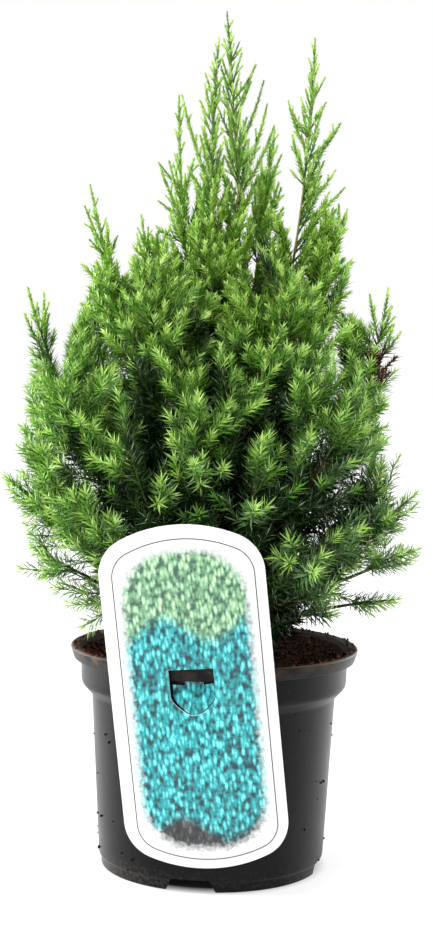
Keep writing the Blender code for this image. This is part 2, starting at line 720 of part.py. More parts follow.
def make_trunk(bark):
    points = [row[:3] for row in TRUNK]
    radii = [row[3] for row in TRUNK]
    bm = tube(points, radii, TRUNK_SIDES)
    flat = TRUNK[0][2]
    for vert in bm.verts:
        if vert.co.z < flat + 1:
            vert.co.z = flat
    return object_from_bmesh(bm, "trunk", bark, 60)


def make_bough(limb, bark):
    points = limb.bough_points()
    taper = (BOUGH_TIP_RADIUS - limb.root_radius) / BOUGH_STEPS
    radii = [limb.root_radius + taper * k for k in range(BOUGH_STEPS + 1)]
    return object_from_bmesh(tube(points, radii, BOUGH_SIDES), "bough_" + limb.name, bark, 80)


def main():
    clear_scene()
    make_pot()
    make_soil()
    make_label()
    bark = make_material("bark", (0.19, 0.09, 0.05), 0.85)
    foliage = make_material("foliage", (0.10, 0.26, 0.03), 0.6)
    make_trunk(bark)
    limbs = [Limb(name, *row) for name, row in LIMBS.items()]
    wood, cells = Field(), Field()
    for a, b in zip(TRUNK, TRUNK[1:]):
        wood.add([Vector(a[:3]), Vector(b[:3])], -1, max(a[3], b[3]))
    for index, limb in enumerate(limbs):
        if limb.bough_end:
            make_bough(limb, bark)
            wood.add(limb.bough_points(), index, limb.root_radius)
        cells.add(limb.path.stretch(limb.foliage, limb.path.length, 12), index, 0.0)
    for index, limb in enumerate(limbs):
        grow_mass(index, limb, cells, wood)
    spines = Field()
    for index, limb in enumerate(limbs):
        for spine in limb.spines:
            spines.add(spine, index, 0.0)
    for index, limb in enumerate(limbs):
        make_mass(index, limb, spines, wood, foliage)


main()
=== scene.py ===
import math
import random

import bmesh
import bpy
import numpy as np
from mathutils import Matrix, Vector, noise


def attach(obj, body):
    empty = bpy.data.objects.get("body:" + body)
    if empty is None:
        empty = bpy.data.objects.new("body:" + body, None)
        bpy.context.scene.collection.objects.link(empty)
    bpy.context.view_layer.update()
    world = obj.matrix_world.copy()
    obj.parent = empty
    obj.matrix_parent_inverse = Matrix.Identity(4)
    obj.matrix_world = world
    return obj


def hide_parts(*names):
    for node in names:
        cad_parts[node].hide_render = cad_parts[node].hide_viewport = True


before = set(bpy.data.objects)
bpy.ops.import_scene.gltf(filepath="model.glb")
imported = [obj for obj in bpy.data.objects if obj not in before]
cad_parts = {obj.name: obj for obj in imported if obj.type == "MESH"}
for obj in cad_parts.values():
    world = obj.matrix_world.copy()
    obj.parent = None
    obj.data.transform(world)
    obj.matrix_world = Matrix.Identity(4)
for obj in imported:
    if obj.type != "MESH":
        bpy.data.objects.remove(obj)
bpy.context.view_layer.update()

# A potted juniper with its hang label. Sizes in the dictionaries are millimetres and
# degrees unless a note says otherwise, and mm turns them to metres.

mm = 0.001
print("frame loaded,", len(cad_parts), "CAD nodes")


# node helpers

def put(tree, kind, values=None, **settings):
    made = tree.nodes.new(kind)
    for name, value in settings.items():
        setattr(made, name, value)
    for name, value in (values or {}).items():
        if isinstance(value, bpy.types.NodeSocket):
            tree.links.new(value, made.inputs[name])
        else:
            made.inputs[name].default_value = value
    return made


def blend(tree, share, first, second, kind="MIX"):
    made = put(tree, "ShaderNodeMix", data_type="RGBA", blend_type=kind)
    for slotNumber, value in ((0, share), (6, first), (7, second)):
        if isinstance(value, bpy.types.NodeSocket):
            tree.links.new(value, made.inputs[slotNumber])
        else:
            made.inputs[slotNumber].default_value = (*value, 1) if slotNumber else value
    return made.outputs[2]


def maths(tree, operation, *values):
    made = put(tree, "ShaderNodeMath", dict(enumerate(values)), operation=operation)
    return made.outputs[0]


def between(tree, value, low, high, lowResult=0.0, highResult=1.0):
    made = put(tree, "ShaderNodeMapRange", {
        "Value": value, "From Min": low, "From Max": high, "To Min": lowResult, "To Max": highResult})
    return made.outputs["Result"]


def noiseOf(tree, place, scale, detail=3.0, roughness=0.55, stretch=None):
    if stretch:
        place = put(tree, "ShaderNodeMapping", {"Vector": place, "Scale": stretch}).outputs[0]
    made = put(tree, "ShaderNodeTexNoise", {
        "Vector": place, "Scale": scale, "Detail": detail, "Roughness": roughness})
    return made.outputs["Fac"]


def newMaterial(name, **settings):
    material = bpy.data.materials.new(name)
    material.use_nodes = True
    shader = material.node_tree.nodes["Principled BSDF"]
    for socket, value in settings.items():
        shader.inputs[socket.replace("_", " ")].default_value = value
    return material, material.node_tree, shader


def newGroup(name, sockets, outputs):
    group = bpy.data.node_groups.new(name, "ShaderNodeTree")
    for socket, value in sockets.items():
        item = group.interface.new_socket(name=socket, in_out="INPUT", socket_type="NodeSocketFloat")
        item.default_value = value
    for socket in outputs:
        group.interface.new_socket(name=socket, in_out="OUTPUT", socket_type="NodeSocketFloat")
    return group, group.nodes.new("NodeGroupInput"), group.nodes.new("NodeGroupOutput")


def use(tree, group, **values):
    made = tree.nodes.new("ShaderNodeGroup")
    made.node_tree = group
    for name, value in values.items():
        made.inputs[name].default_value = value
    return made


def bumpFrom(tree, height, strength, distance):
    made = put(tree, "ShaderNodeBump", {"Height": height, "Strength": strength, "Distance": distance})
    return made.outputs[0]


# effects that several materials share

def makePatches():
    # soft-edged patches of dust, stain or wear
    group, given, out = newGroup("patches", {"Scale": 40.0, "Low": 0.45, "High": 0.65}, ["Mask"])
    place = group.nodes.new("ShaderNodeTexCoord").outputs["Object"]
    wide = put(group, "ShaderNodeTexNoise", {"Vector": place, "Scale": given.outputs["Scale"], "Detail": 5.0})
    group.links.new(between(group, wide.outputs["Fac"], given.outputs["Low"], given.outputs["High"]),
                    out.inputs["Mask"])
    return group


def makeGrain():
    # fine grain with a coarser swell under it
    group, given, out = newGroup("grain", {"Scale": 900.0, "Coarse": 0.35}, ["Height"])
    place = group.nodes.new("ShaderNodeTexCoord").outputs["Object"]
    fine = put(group, "ShaderNodeTexNoise", {"Vector": place, "Scale": given.outputs["Scale"], "Detail": 2.0})
    slow = maths(group, "MULTIPLY", given.outputs["Scale"], 0.12)
    swell = put(group, "ShaderNodeTexNoise", {"Vector": place, "Scale": slow, "Detail": 3.0})
    weighted = maths(group, "MULTIPLY", swell.outputs["Fac"], given.outputs["Coarse"])
    group.links.new(maths(group, "ADD", fine.outputs["Fac"], weighted), out.inputs["Height"])
    return group


patches = makePatches()
grain = makeGrain()


# camera, light and floor

studio = {
    "place": (-0.6, -836.6, 240.4),
    "pitch": 4.24,
    "roll": 1.09,
    "lens": 71.17,
    "sensorHeight": 36.0,
    "backdrop": 1.0,  # brightness behind the plant, as the camera sees it
    "surround": 0.42,  # and as it lights the plant
    "floorSize": 12000.0,
    "floorColour": (0.36, 0.36, 0.36),
    "floorGlow": 0.74,  # the table is lit from below,
    "unlit": (53.0, 42.0),  # but not under the pot, which paints a shadow there: radius where its glow starts to fall off, and where it is gone
    # a broad light from far off: heading it comes from, softness in degrees, strength
    "key": ((-0.62, -0.62, 1.30), 26.0, 3.3),
    # name: place, size, watts
    "lamps": {
        "leftLight": ((-1400, 350, 350), 900, 26.0),
        "rightLight": ((1400, 350, 350), 900, 12.0),
        "leftRim": ((-1250, 1150, 350), 1200, 24.0),
        "rightRim": ((1250, 1150, 350), 1200, 24.0),
    },
}


def makeCamera():
    pitch, roll = math.radians(studio["pitch"]), math.radians(studio["roll"])
    level = Vector((1, 0, 0))
    ahead = Vector((0, math.cos(pitch), -math.sin(pitch)))
    upright = level.cross(ahead)
    right = level * math.cos(roll) + upright * math.sin(roll)
    above = upright * math.cos(roll) - level * math.sin(roll)
    data = bpy.data.cameras.new("photoCamera")
    data.sensor_fit = "VERTICAL"
    data.sensor_height = studio["sensorHeight"]
    data.lens = studio["lens"]
    data.clip_start = 0.01
    camera = bpy.data.objects.new("photoCamera", data)
    turn = Matrix((right, above, -ahead)).transposed().to_4x4()
    camera.matrix_world = Matrix.Translation(Vector(studio["place"]) * mm) @ turn
    bpy.context.scene.collection.objects.link(camera)
    bpy.context.scene.camera = camera


def makeLights():
    world = bpy.data.worlds.new("studio")
    world.use_nodes = True
    tree = world.node_tree
    back = tree.nodes["Background"]
    seen = tree.nodes.new("ShaderNodeLightPath").outputs["Is Camera Ray"]
    tree.links.new(between(tree, seen, 0.0, 1.0, studio["surround"], studio["backdrop"]), back.inputs["Strength"])
    back.inputs["Color"].default_value = (1, 1, 1, 1)
    bpy.context.scene.world = world
    heading, softness, strength = studio["key"]
    sun = bpy.data.lights.new("keyLight", "SUN")
    sun.angle = math.radians(softness)
    sun.energy = strength
    lamp = bpy.data.objects.new("keyLight", sun)
    lamp.rotation_euler = (-Vector(heading)).to_track_quat("-Z", "Y").to_euler()
    bpy.context.scene.collection.objects.link(lamp)
    for name, (place, size, watts) in studio["lamps"].items():
        data = bpy.data.lights.new(name, "AREA")
        data.size = size * mm
        data.energy = watts
        lamp = bpy.data.objects.new(name, data)
        lamp.location = Vector(place) * mm
        aim = Vector((0, 0, 0.18)) - lamp.location
        lamp.rotation_euler = aim.to_track_quat("-Z", "Y").to_euler()
        bpy.context.scene.collection.objects.link(lamp)


def makeFloor():
    half = studio["floorSize"] / 2 * mm
    material, tree, shader = newMaterial("paleFloor", Base_Color=(*studio["floorColour"], 1), Roughness=0.6)
    shader.inputs["Emission Color"].default_value = (1, 1, 1, 1)
    # the glow fades out under the pot: a painted shadow
    full, none = (radius * mm for radius in studio["unlit"])
    place = tree.nodes.new("ShaderNodeTexCoord").outputs["Object"]
    away = put(tree, "ShaderNodeVectorMath", {0: place}, operation="LENGTH").outputs["Value"]
    tree.links.new(between(tree, away, none, full, 0.0, studio["floorGlow"]), shader.inputs["Emission Strength"])
    mesh = bpy.data.meshes.new("floor")
    mesh.from_pydata([(-half, -half, 0), (half, -half, 0), (half, half, 0), (-half, half, 0)], [], [(0, 1, 2, 3)])
    mesh.materials.append(material)
    floor = bpy.data.objects.new("floor", mesh)
    bpy.context.scene.collection.objects.link(floor)


bpy.context.scene.view_settings.view_transform = "Standard"
makeCamera()
makeLights()
makeFloor()
print("studio ready")


# mesh helpers

def addPiece(name, mesh, material, replaced=(), sharpAngle=None):
    if material and not mesh.materials:
        mesh.materials.append(material)
    if sharpAngle:
        mesh.shade_smooth()
        mesh.set_sharp_from_angle(angle=math.radians(sharpAngle))
    piece = bpy.data.objects.new(name, mesh)
    bpy.context.scene.collection.objects.link(piece)
    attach(piece, "root")
    if replaced:
        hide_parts(*replaced)
    print("  ", name, len(mesh.polygons), "faces")
    return piece


def meshFrom(name, verts, faces):
    mesh = bpy.data.meshes.new(name)
    mesh.from_pydata([tuple(v) for v in np.asarray(verts, float) * mm], [], faces)
    mesh.validate()
    return mesh


def finished(obj):
    # the evaluated mesh of a helper object, which is then removed
    graph = bpy.context.evaluated_depsgraph_get()
    graph.update()
    mesh = bpy.data.meshes.new_from_object(obj.evaluated_get(graph))
    bpy.data.objects.remove(obj, do_unlink=True)
    return mesh


def rounded(profile, radius, steps):
    # fillets the corners of an open profile of (radius, height) points
    result = [profile[0]]
    for before, corner, after in zip(profile, profile[1:], profile[2:]):
        corner = Vector(corner)
        back, on = Vector(before) - corner, Vector(after) - corner
        cut = min(radius, back.length * 0.45, on.length * 0.45)
        first, last = corner + back.normalized() * cut, corner + on.normalized() * cut
        for k in range(steps + 1):
            share = k / steps
            result.append(tuple(first * (1 - share) ** 2 + corner * 2 * share * (1 - share) + last * share ** 2))
    return result + [profile[-1]]


def turned(name, profile, sides, shift=None):
    # a closed body turned round Z, both ends of its profile on the axis
    verts, rings = [], []
    for radius, height in profile:
        count = 1 if radius == 0 else sides
        rings.append([len(verts) + k for k in range(count)])
        for k in range(count):
            turn = math.tau * k / sides
            point = Vector((radius * math.sin(turn), -radius * math.cos(turn), height))
            verts.append(shift(point, radius) if shift and radius else point)
    faces = []
    for lower, upper in zip(rings, rings[1:]):
        for k in range(sides):
            corners = [lower[k % len(lower)], lower[(k + 1) % len(lower)],
                       upper[(k + 1) % len(upper)], upper[k % len(upper)]]
            faces.append(list(dict.fromkeys(corners)))
    return meshFrom(name, verts, faces)


# pot

pot = {
    "sides": 160,
    "height": 100.0,
    "lipRadius": 65.0,
    "lipDrop": 5.7,
    "wall": 1.4,
    "collarRadius": 60.0,
    "collarFoot": 82.6,
    "wallTopRadius": 55.0,
    "wallTop": 78.0,
    "footRadius": 49.6,
    "footHeight": 4.2,
    "wallFootRadius": 50.9,
    "floor": 6.4,
    "notches": 4,
    "notchTurn": -10.0,
    "notchTopWidth": 17.0,
    "notchFootWidth": 22.0,
    "notchHeight": 5.6,
    "drainRadius": 4.0,
    "drainCircle": 36.0,
    "fillet": 0.9,
    "wobble": 0.22,
    "colour": (0.0036, 0.0040, 0.0048),
    "dust": (0.170, 0.124, 0.088),
    # painted shade on the inside of the lip
    "innerShade": (0.010, 0.0062, 0.0045),
    "greyDust": (0.030, 0.029, 0.028),
}


def potMaterial():
    material, tree, shader = newMaterial("potPlastic", Specular_IOR_Level=0.115)
    place = tree.nodes.new("ShaderNodeTexCoord").outputs["Object"]
    height = put(tree, "ShaderNodeSeparateXYZ", {0: place}).outputs["Z"]
    flat = put(tree, "ShaderNodeVectorMath", {0: place, 1: (1, 1, 0)}, operation="MULTIPLY")
    radius = put(tree, "ShaderNodeVectorMath", {0: flat.outputs[0]}, operation="LENGTH").outputs["Value"]
    film = use(tree, patches, Scale=28.0, Low=0.40, High=0.78)
    dabs = use(tree, patches, Scale=120.0, Low=0.40, High=0.72)
    scuffs = use(tree, patches, Scale=480.0, Low=0.62, High=0.72)
    specks = use(tree, patches, Scale=700.0, Low=0.46, High=0.70)
    # dust lies on the lip and in specks at the foot
    lip = maths(tree, "MULTIPLY", between(tree, height, 0.0925, 0.0995), dabs.outputs["Mask"])
    foot = maths(tree, "MULTIPLY", between(tree, height, 0.011, 0.001, 0.0, 0.5), specks.outputs["Mask"])
    lying = maths(tree, "MAXIMUM", lip, foot)
    # more of it to the left
    along = put(tree, "ShaderNodeSeparateXYZ", {0: place}).outputs["X"]
    lying = maths(tree, "MULTIPLY", lying, between(tree, along, 0.015, -0.045, 0.30, 0.85))
    worn = between(tree, height, 0.0992, 0.0999, 0.0, 0.42)
    lying = maths(tree, "MAXIMUM", lying, worn)
    # and the inside of the lip is painted dark: painted shade where the plant shades it
    wall = (pot["collarRadius"] + 1.6) * mm
    inside = between(tree, radius, wall, wall - 0.0012)
    inside = maths(tree, "MULTIPLY", inside, between(tree, height, 0.094, 0.0945))
    greyed = maths(tree, "MULTIPLY", film.outputs["Mask"], 0.06)
    base = blend(tree, greyed, pot["colour"], pot["greyDust"])
    base = blend(tree, maths(tree, "MULTIPLY", scuffs.outputs["Mask"], 0.35), base, pot["greyDust"])
    base = blend(tree, lying, base, pot["dust"])
    base = blend(tree, inside, base, pot["innerShade"])
    tree.links.new(base, shader.inputs["Base Color"])
    rough = maths(tree, "ADD", 0.28, maths(tree, "MULTIPLY", film.outputs["Mask"], 0.12))
    rough = maths(tree, "ADD", rough, maths(tree, "MULTIPLY", maths(tree, "MAXIMUM", lying, inside), 0.5))
    tree.links.new(rough, shader.inputs["Roughness"])
    skin = use(tree, grain, Scale=1500.0, Coarse=0.8)
    tree.links.new(bumpFrom(tree, skin.outputs["Height"], 0.12, 0.0004), shader.inputs["Normal"])
    return material


def wedge(corners, low, high):
    # a closed block between two quads
    verts = [(x, y, low) for x, y in corners[0]] + [(x, y, high) for x, y in corners[1]]
    return verts, [(3, 2, 1, 0), (4, 5, 6, 7), (0, 1, 5, 4), (1, 2, 6, 5), (2, 3, 7, 6), (3, 0, 4, 7)]


def potCutters():
    verts, faces = [], []
    for k in range(pot["notches"]):
        turn = math.radians(pot["notchTurn"]) + math.tau * k / pot["notches"]
        spin = Matrix.Rotation(turn, 3, "Z")
        low, top = -2.0, pot["notchHeight"]
        slope = (pot["notchFootWidth"] - pot["notchTopWidth"]) / 2 / top
        quads = []
        for z in (low, top):
            half = pot["notchTopWidth"] / 2 + slope * (top - z)
            quads.append([(x, y) for x, y in ((-half, -56), (half, -56), (half, -42), (-half, -42))])
        blockVerts, blockFaces = wedge(quads, low, top)
        start = len(verts)
        verts += [spin @ Vector(v) for v in blockVerts]
        faces += [[start + i for i in face] for face in blockFaces]
        start = len(verts)
        rim = 28
        for z in (pot["floor"] - 3, pot["floor"] + 5):
            for n in range(rim):
                angle = math.tau * n / rim
                spot = Vector((pot["drainRadius"] * math.sin(angle),
                               pot["drainRadius"] * math.cos(angle) - pot["drainCircle"], z))
                verts.append(spin @ spot)
        faces += [[start + n, start + (n + 1) % rim, start + rim + (n + 1) % rim, start + rim + n]
                  for n in range(rim)]
        faces += [[start + n for n in reversed(range(rim))], [start + rim + n for n in range(rim)]]
    return meshFrom("potCutters", verts, faces)


def potProfile():
    top, radius, wall = pot["height"], pot["lipRadius"], pot["wall"]
    skirtTop, skirtFoot, skirt = top - 2.4, top - pot["lipDrop"], radius - 1.6
    collar, foot = pot["collarRadius"], pot["footRadius"]
    inner = pot["floor"] + wall
    return [
        (0, pot["floor"]), (foot - 1.8, pot["floor"]), (foot - 1.6, 0), (foot, 0),
        (foot + 0.3, pot["footHeight"]), (pot["wallFootRadius"], pot["footHeight"] + 1.0),
        (pot["wallTopRadius"], pot["wallTop"]), (collar - 0.6, pot["collarFoot"]),
        (collar, pot["collarFoot"] + 2.0), (collar + 0.2, skirtFoot),
        (collar + 0.5, skirtTop), (skirt - 0.5, skirtTop), (skirt - 1.0, skirtFoot), (skirt, skirtFoot),
        (radius, top - 0.7), (radius - 0.7, top), (radius - 1.5, top), (collar + 0.2, top - 1.4),
        (collar - 0.8, top - 2.6),
        (collar - wall, pot["collarFoot"] + 1.4), (pot["wallTopRadius"] - wall, pot["wallTop"] + 1.0),
        (foot - 0.4, inner), (0, inner),
    ]


def makePot():
    def wobble(point, radius):
        # the thin lip is never quite round
        lift = max(0.0, (point.z - 60) / 40)
        turn = math.atan2(point.x, -point.y)
        swell = pot["wobble"] * lift * (math.sin(2 * turn + 0.6) + 0.6 * math.sin(5 * turn + 2.0))
        return Vector((point.x * (1 + swell / radius), point.y * (1 + swell / radius), point.z))

    mesh = turned("pot", rounded(potProfile(), pot["fillet"], 3), pot["sides"], wobble)
    body = bpy.data.objects.new("potBody", mesh)
    cutter = bpy.data.objects.new("potCutter", potCutters())
    for helper in (body, cutter):
        bpy.context.scene.collection.objects.link(helper)
    cut = body.modifiers.new("notches", "BOOLEAN")
    cut.operation = "DIFFERENCE"
    cut.solver = "EXACT"
    cut.object = cutter
    mesh = finished(body)
    bpy.data.objects.remove(cutter, do_unlink=True)
    mesh.materials.clear()
    return addPiece("nurseryPot", mesh, potMaterial(), ["pot"], 32)


makePot()
print("pot made")


# soil

soil = {
    "edge": 94.6,
    "mound": 2.6,
    "gap": 0.5,
    "rimFrom": 0.86,  # past this share of its radius the peat climbs the wall
    "rimRise": 23.0,
    "rings": 46,
    "sides": 180,
    "lumps": 1.1,
    "seed": 11,
    "crumbSizes": (0.45, 1.5),
    "crumbCount": 1800,
    "fibreCount": 900,
    "strayCount": 170,
    "colours": {"peat": (0.0040, 0.0018, 0.0011), "russet": (0.085, 0.023, 0.010), "fibre": (0.20, 0.100, 0.056)},
}


def soilHeight(x, y):
    edge = pot["collarRadius"] - pot["wall"] - soil["gap"]
    trunkClear = 9.0
    share = min(1.0, math.hypot(x, y) / edge)
    lump = noise.fractal(Vector((x * 0.11, y * 0.11, 3.0)), 0.6, 2.0, 5)
    height = soil["edge"] + soil["mound"] * (1 - share ** 1.5) + soil["rimRise"] * max(0.0, share - soil["rimFrom"])
    return height + soil["lumps"] * lump * min(1.0, math.hypot(x, y) / trunkClear)


def soilMaterial(name, dark, light, scale, bump):
    material, tree, shader = newMaterial(name, Roughness=0.95, Specular_IOR_Level=0.08)
    fine = use(tree, patches, Scale=scale, Low=0.47, High=0.66)
    wide = use(tree, patches, Scale=scale * 0.2, Low=0.40, High=0.66)
    base = blend(tree, fine.outputs["Mask"], dark, light)
    darker = tuple(c * 0.35 for c in dark)
    base = blend(tree, maths(tree, "MULTIPLY", wide.outputs["Mask"], 0.55), base, darker)
    tree.links.new(base, shader.inputs["Base Color"])
    rough = use(tree, grain, Scale=scale * 2, Coarse=1.2)
    tree.links.new(bumpFrom(tree, rough.outputs["Height"], bump, 0.001), shader.inputs["Normal"])
    return material


def makeSoil():
    edge = pot["collarRadius"] - pot["wall"] - soil["gap"]
    inner = pot["floor"] + pot["wall"] + 0.3
    profile = [(0, inner), (pot["footRadius"] - 1.1, inner),
               (pot["wallTopRadius"] - pot["wall"] - 0.65, pot["wallTop"] + 0.6), (edge, soil["edge"] - 2.0)]
    for k in range(soil["rings"]):
        profile.append((edge * (1 - k / soil["rings"]), soil["edge"]))
    profile.append((0, soil["edge"]))

    def lumpy(point, radius):
        if point.z > soil["edge"] - 1:
            point.z = soilHeight(point.x, point.y)
        return point

    mesh = turned("peat", profile, soil["sides"], lumpy)
    peak = max(mesh.vertices, key=lambda v: (v.co.x ** 2 + v.co.y ** 2 < 1e-12, v.co.z))
    peak.co.z = soilHeight(0, 0) * mm
    peat = soilMaterial("peat", soil["colours"]["peat"], soil["colours"]["russet"], 620.0, 0.9)
    return addPiece("peatSurface", mesh, peat, ["soil"], 60)


def crumbTree():
    # lumps of one of two shapes on every point, turned and sized at random
    tree = bpy.data.node_groups.new("crumbsOnPoints", "GeometryNodeTree")
    tree.interface.new_socket(name="Geometry", in_out="INPUT", socket_type="NodeSocketGeometry")
    sizes = {}
    for name, kind, value in (("Smallest", "Float", 0.4), ("Largest", "Float", 1.4), ("Slimness", "Float", 1.0),
                              ("Seed", "Int", 1)):
        item = tree.interface.new_socket(name=name, in_out="INPUT", socket_type="NodeSocket" + kind)
        item.default_value = value
        sizes[name] = item.identifier
    sizes["Material"] = tree.interface.new_socket(
        name="Material", in_out="INPUT", socket_type="NodeSocketMaterial").identifier
    tree.interface.new_socket(name="Geometry", in_out="OUTPUT", socket_type="NodeSocketGeometry")
    given, out = tree.nodes.new("NodeGroupInput"), tree.nodes.new("NodeGroupOutput")
    lump = put(tree, "GeometryNodeMeshIcoSphere", {"Radius": 1.0, "Subdivisions": 1})
    dent = put(tree, "ShaderNodeTexNoise", {"Scale": 1.3})
    push = put(tree, "ShaderNodeVectorMath", {0: dent.outputs["Color"], 1: (0.5, 0.5, 0.5)}, operation="SUBTRACT")
    push = put(tree, "ShaderNodeVectorMath", {0: push.outputs[0], "Scale": 1.5}, operation="SCALE")
    lump = put(tree, "GeometryNodeSetPosition", {"Geometry": lump.outputs["Mesh"], "Offset": push.outputs[0]})
    turn = put(tree, "FunctionNodeRandomValue", {
        "Min": (0, 0, 0), "Max": (math.tau, math.tau, math.tau), "Seed": given.outputs["Seed"]},
        data_type="FLOAT_VECTOR")
    turn = put(tree, "FunctionNodeEulerToRotation", {0: turn.outputs[0]})
    size = put(tree, "FunctionNodeRandomValue", {
        2: given.outputs["Smallest"], 3: given.outputs["Largest"], "Seed": given.outputs["Seed"]},
        data_type="FLOAT")
    long = maths(tree, "MULTIPLY", size.outputs[1], given.outputs["Slimness"])
    scale = put(tree, "ShaderNodeCombineXYZ", {0: long, 1: size.outputs[1], 2: size.outputs[1]})
    placed = put(tree, "GeometryNodeInstanceOnPoints", {
        "Points": given.outputs["Geometry"], "Instance": lump.outputs["Geometry"],
        "Rotation": turn.outputs[0], "Scale": scale.outputs[0]})
    real = put(tree, "GeometryNodeRealizeInstances", {"Geometry": placed.outputs[0]})
    done = put(tree, "GeometryNodeSetMaterial", {"Geometry": real.outputs[0], "Material": given.outputs["Material"]})
    tree.links.new(done.outputs[0], out.inputs[0])
    return tree, sizes


def runTree(name, mesh, tree, sizes, values):
    # the mesh that a tree makes of another mesh
    host = bpy.data.objects.new(name + "Host", mesh)
    grown = host.modifiers.new("grow", "NODES")
    grown.node_group = tree
    for socket, value in values.items():
        grown[sizes[socket]] = value
    bpy.context.scene.collection.objects.link(host)
    result = finished(host)
    result.name = name
    return result


def scatterCrumbs():
    rng = random.Random(soil["seed"])
    tree, sizes = crumbTree()
    edge = pot["collarRadius"] - pot["wall"] - 1.6
    spots = {"peatCrumbs": [], "russetCrumbs": [], "peatFibres": []}
    for name, count in (("peatCrumbs", soil["crumbCount"]), ("russetCrumbs", soil["crumbCount"] // 3),
                        ("peatFibres", soil["fibreCount"])):
        for _ in range(count):
            radius, turn = edge * math.sqrt(rng.random()), rng.uniform(0, math.tau)
            x, y = radius * math.cos(turn), radius * math.sin(turn)
            spots[name].append((x, y, soilHeight(x, y) + rng.uniform(-0.1, 0.5)))
    for _ in range(soil["strayCount"]):
        turn = rng.uniform(0, math.tau)
        radius = pot["lipRadius"] - rng.uniform(0.8, 4.6)
        spots["russetCrumbs"].append((radius * math.sin(turn), -radius * math.cos(turn), pot["height"] + 0.15))
    for _ in range(soil["strayCount"] // 2):
        turn, height = rng.uniform(0, math.tau), rng.uniform(4, 78)
        radius = pot["wallFootRadius"] + (pot["wallTopRadius"] - pot["wallFootRadius"]) * (height - 5) / 73
        spots["peatCrumbs"].append(((radius + 0.1) * math.sin(turn), -(radius + 0.1) * math.cos(turn), height))
    colours = soil["colours"]
    looks = {"peatCrumbs": ("peat", "russet", 1.25), "russetCrumbs": ("russet", "fibre", 1.6),
             "peatFibres": ("fibre", "russet", 7.0)}
    for name, (dark, light, slimness) in looks.items():
        material = soilMaterial(name, colours[dark], colours[light], 900.0, 0.5)
        small, large = soil["crumbSizes"] if name != "peatFibres" else (0.16, 0.34)
        mesh = runTree(name, meshFrom(name, spots[name], []), tree, sizes, {
            "Smallest": small * 0.5 * mm, "Largest": large * 0.5 * mm, "Slimness": slimness,
            "Seed": soil["seed"] + len(name), "Material": material})
        addPiece(name, mesh, None)


makeSoil()
scatterCrumbs()
print("soil made")


# label

label = {
    "width": 71.0,
    "height": 149.0,
    "thickness": 0.6,
    "endRadius": 61.0,
    "cornerRadius": 17.0,
    "middle": 87.4,
    "yaw": -11.0,
    "slide": 4.0,
    "tilt": 5.5,
    "lean": 5.5,
    "touch": 65.7,
    "windowWidth": 19.4,
    "windowFoot": 6.0,
    "windowHeight": 6.7,
    "tongueWidth": 19.2,
    "tongueStem": 8.0,
    "tongueShoulder": 0.8,
    "tongueFoot": -7.2,
    # the shield's edge below its shoulder, in shares of its half width and its depth
    "shield": [(1.0, 0.0), (0.93, 0.22), (0.80, 0.43), (0.62, 0.64), (0.42, 0.84), (0.26, 0.95), (0.14, 1.0)],
    "lineInset": 4.8,
    "lineShift": (0.6, -1.0),
    "lineWidth": 0.5,
    "white": (0.90, 0.91, 0.91),
    "line": (0.10, 0.105, 0.11),
}
printed = {
    "half": (29.2, 66.6),  # half width and height of the printed panel
    "corner": 24.0,
    "centre": (0.3, -1.0),
    "softness": 4.5,
    # dark, middle and light of each part of the pattern
    "paleGreen": ((0.045, 0.120, 0.080), (0.240, 0.500, 0.270), (0.640, 0.860, 0.560)),
    "turquoise": ((0.010, 0.045, 0.055), (0.014, 0.400, 0.430), (0.200, 0.850, 0.850)),
    "ground": ((0.012, 0.012, 0.014), (0.040, 0.042, 0.045), (0.130, 0.130, 0.120)),
    "leafSize": 1.8,
    "leafStretch": 0.40,
    "leafTurn": 36.0,
    "bands": (30.0, -51.0),  # heights where pale green gives way to turquoise, and that to ground
}


def arc(centre, radius, start, end, steps):
    return [(centre[0] + radius * math.cos(turn), centre[1] + radius * math.sin(turn))
            for turn in (math.radians(start + (end - start) * k / steps) for k in range(steps + 1))]


def labelOutline(inset=0.0):
    halfWidth, halfHeight = label["width"] / 2, label["height"] / 2
    dome = halfHeight - label["endRadius"]
    cornerX = halfWidth - label["cornerRadius"]
    reach = label["endRadius"] - label["cornerRadius"]
    cornerY = dome + math.sqrt(reach ** 2 - cornerX ** 2)
    meet = math.degrees(math.atan2(cornerY - dome, cornerX))
    small, large = label["cornerRadius"] - inset, label["endRadius"] - inset
    top = arc((cornerX, cornerY), small, 0, meet, 14)
    top += arc((0, dome), large, meet, 180 - meet, 26)[1:-1]
    top += arc((-cornerX, cornerY), small, 180 - meet, 180, 14)
    return top + [(-x, -y) for x, y in top]


def labelPlace():
    lean = Matrix.Rotation(math.radians(label["lean"]), 4, "X")
    tilt = Matrix.Rotation(math.radians(-label["tilt"]), 4, "Y")
    yaw = Matrix.Rotation(math.radians(label["yaw"]), 4, "Z")
    hang = label["middle"] - (pot["height"] - pot["lipDrop"] / 2)
    middle = Matrix.Translation((label["slide"], 0, hang))
    touch = Matrix.Translation((0, -label["touch"], 0))
    return Matrix.Translation((0, 0, label["middle"] - hang)) @ yaw @ touch @ lean @ middle @ tilt


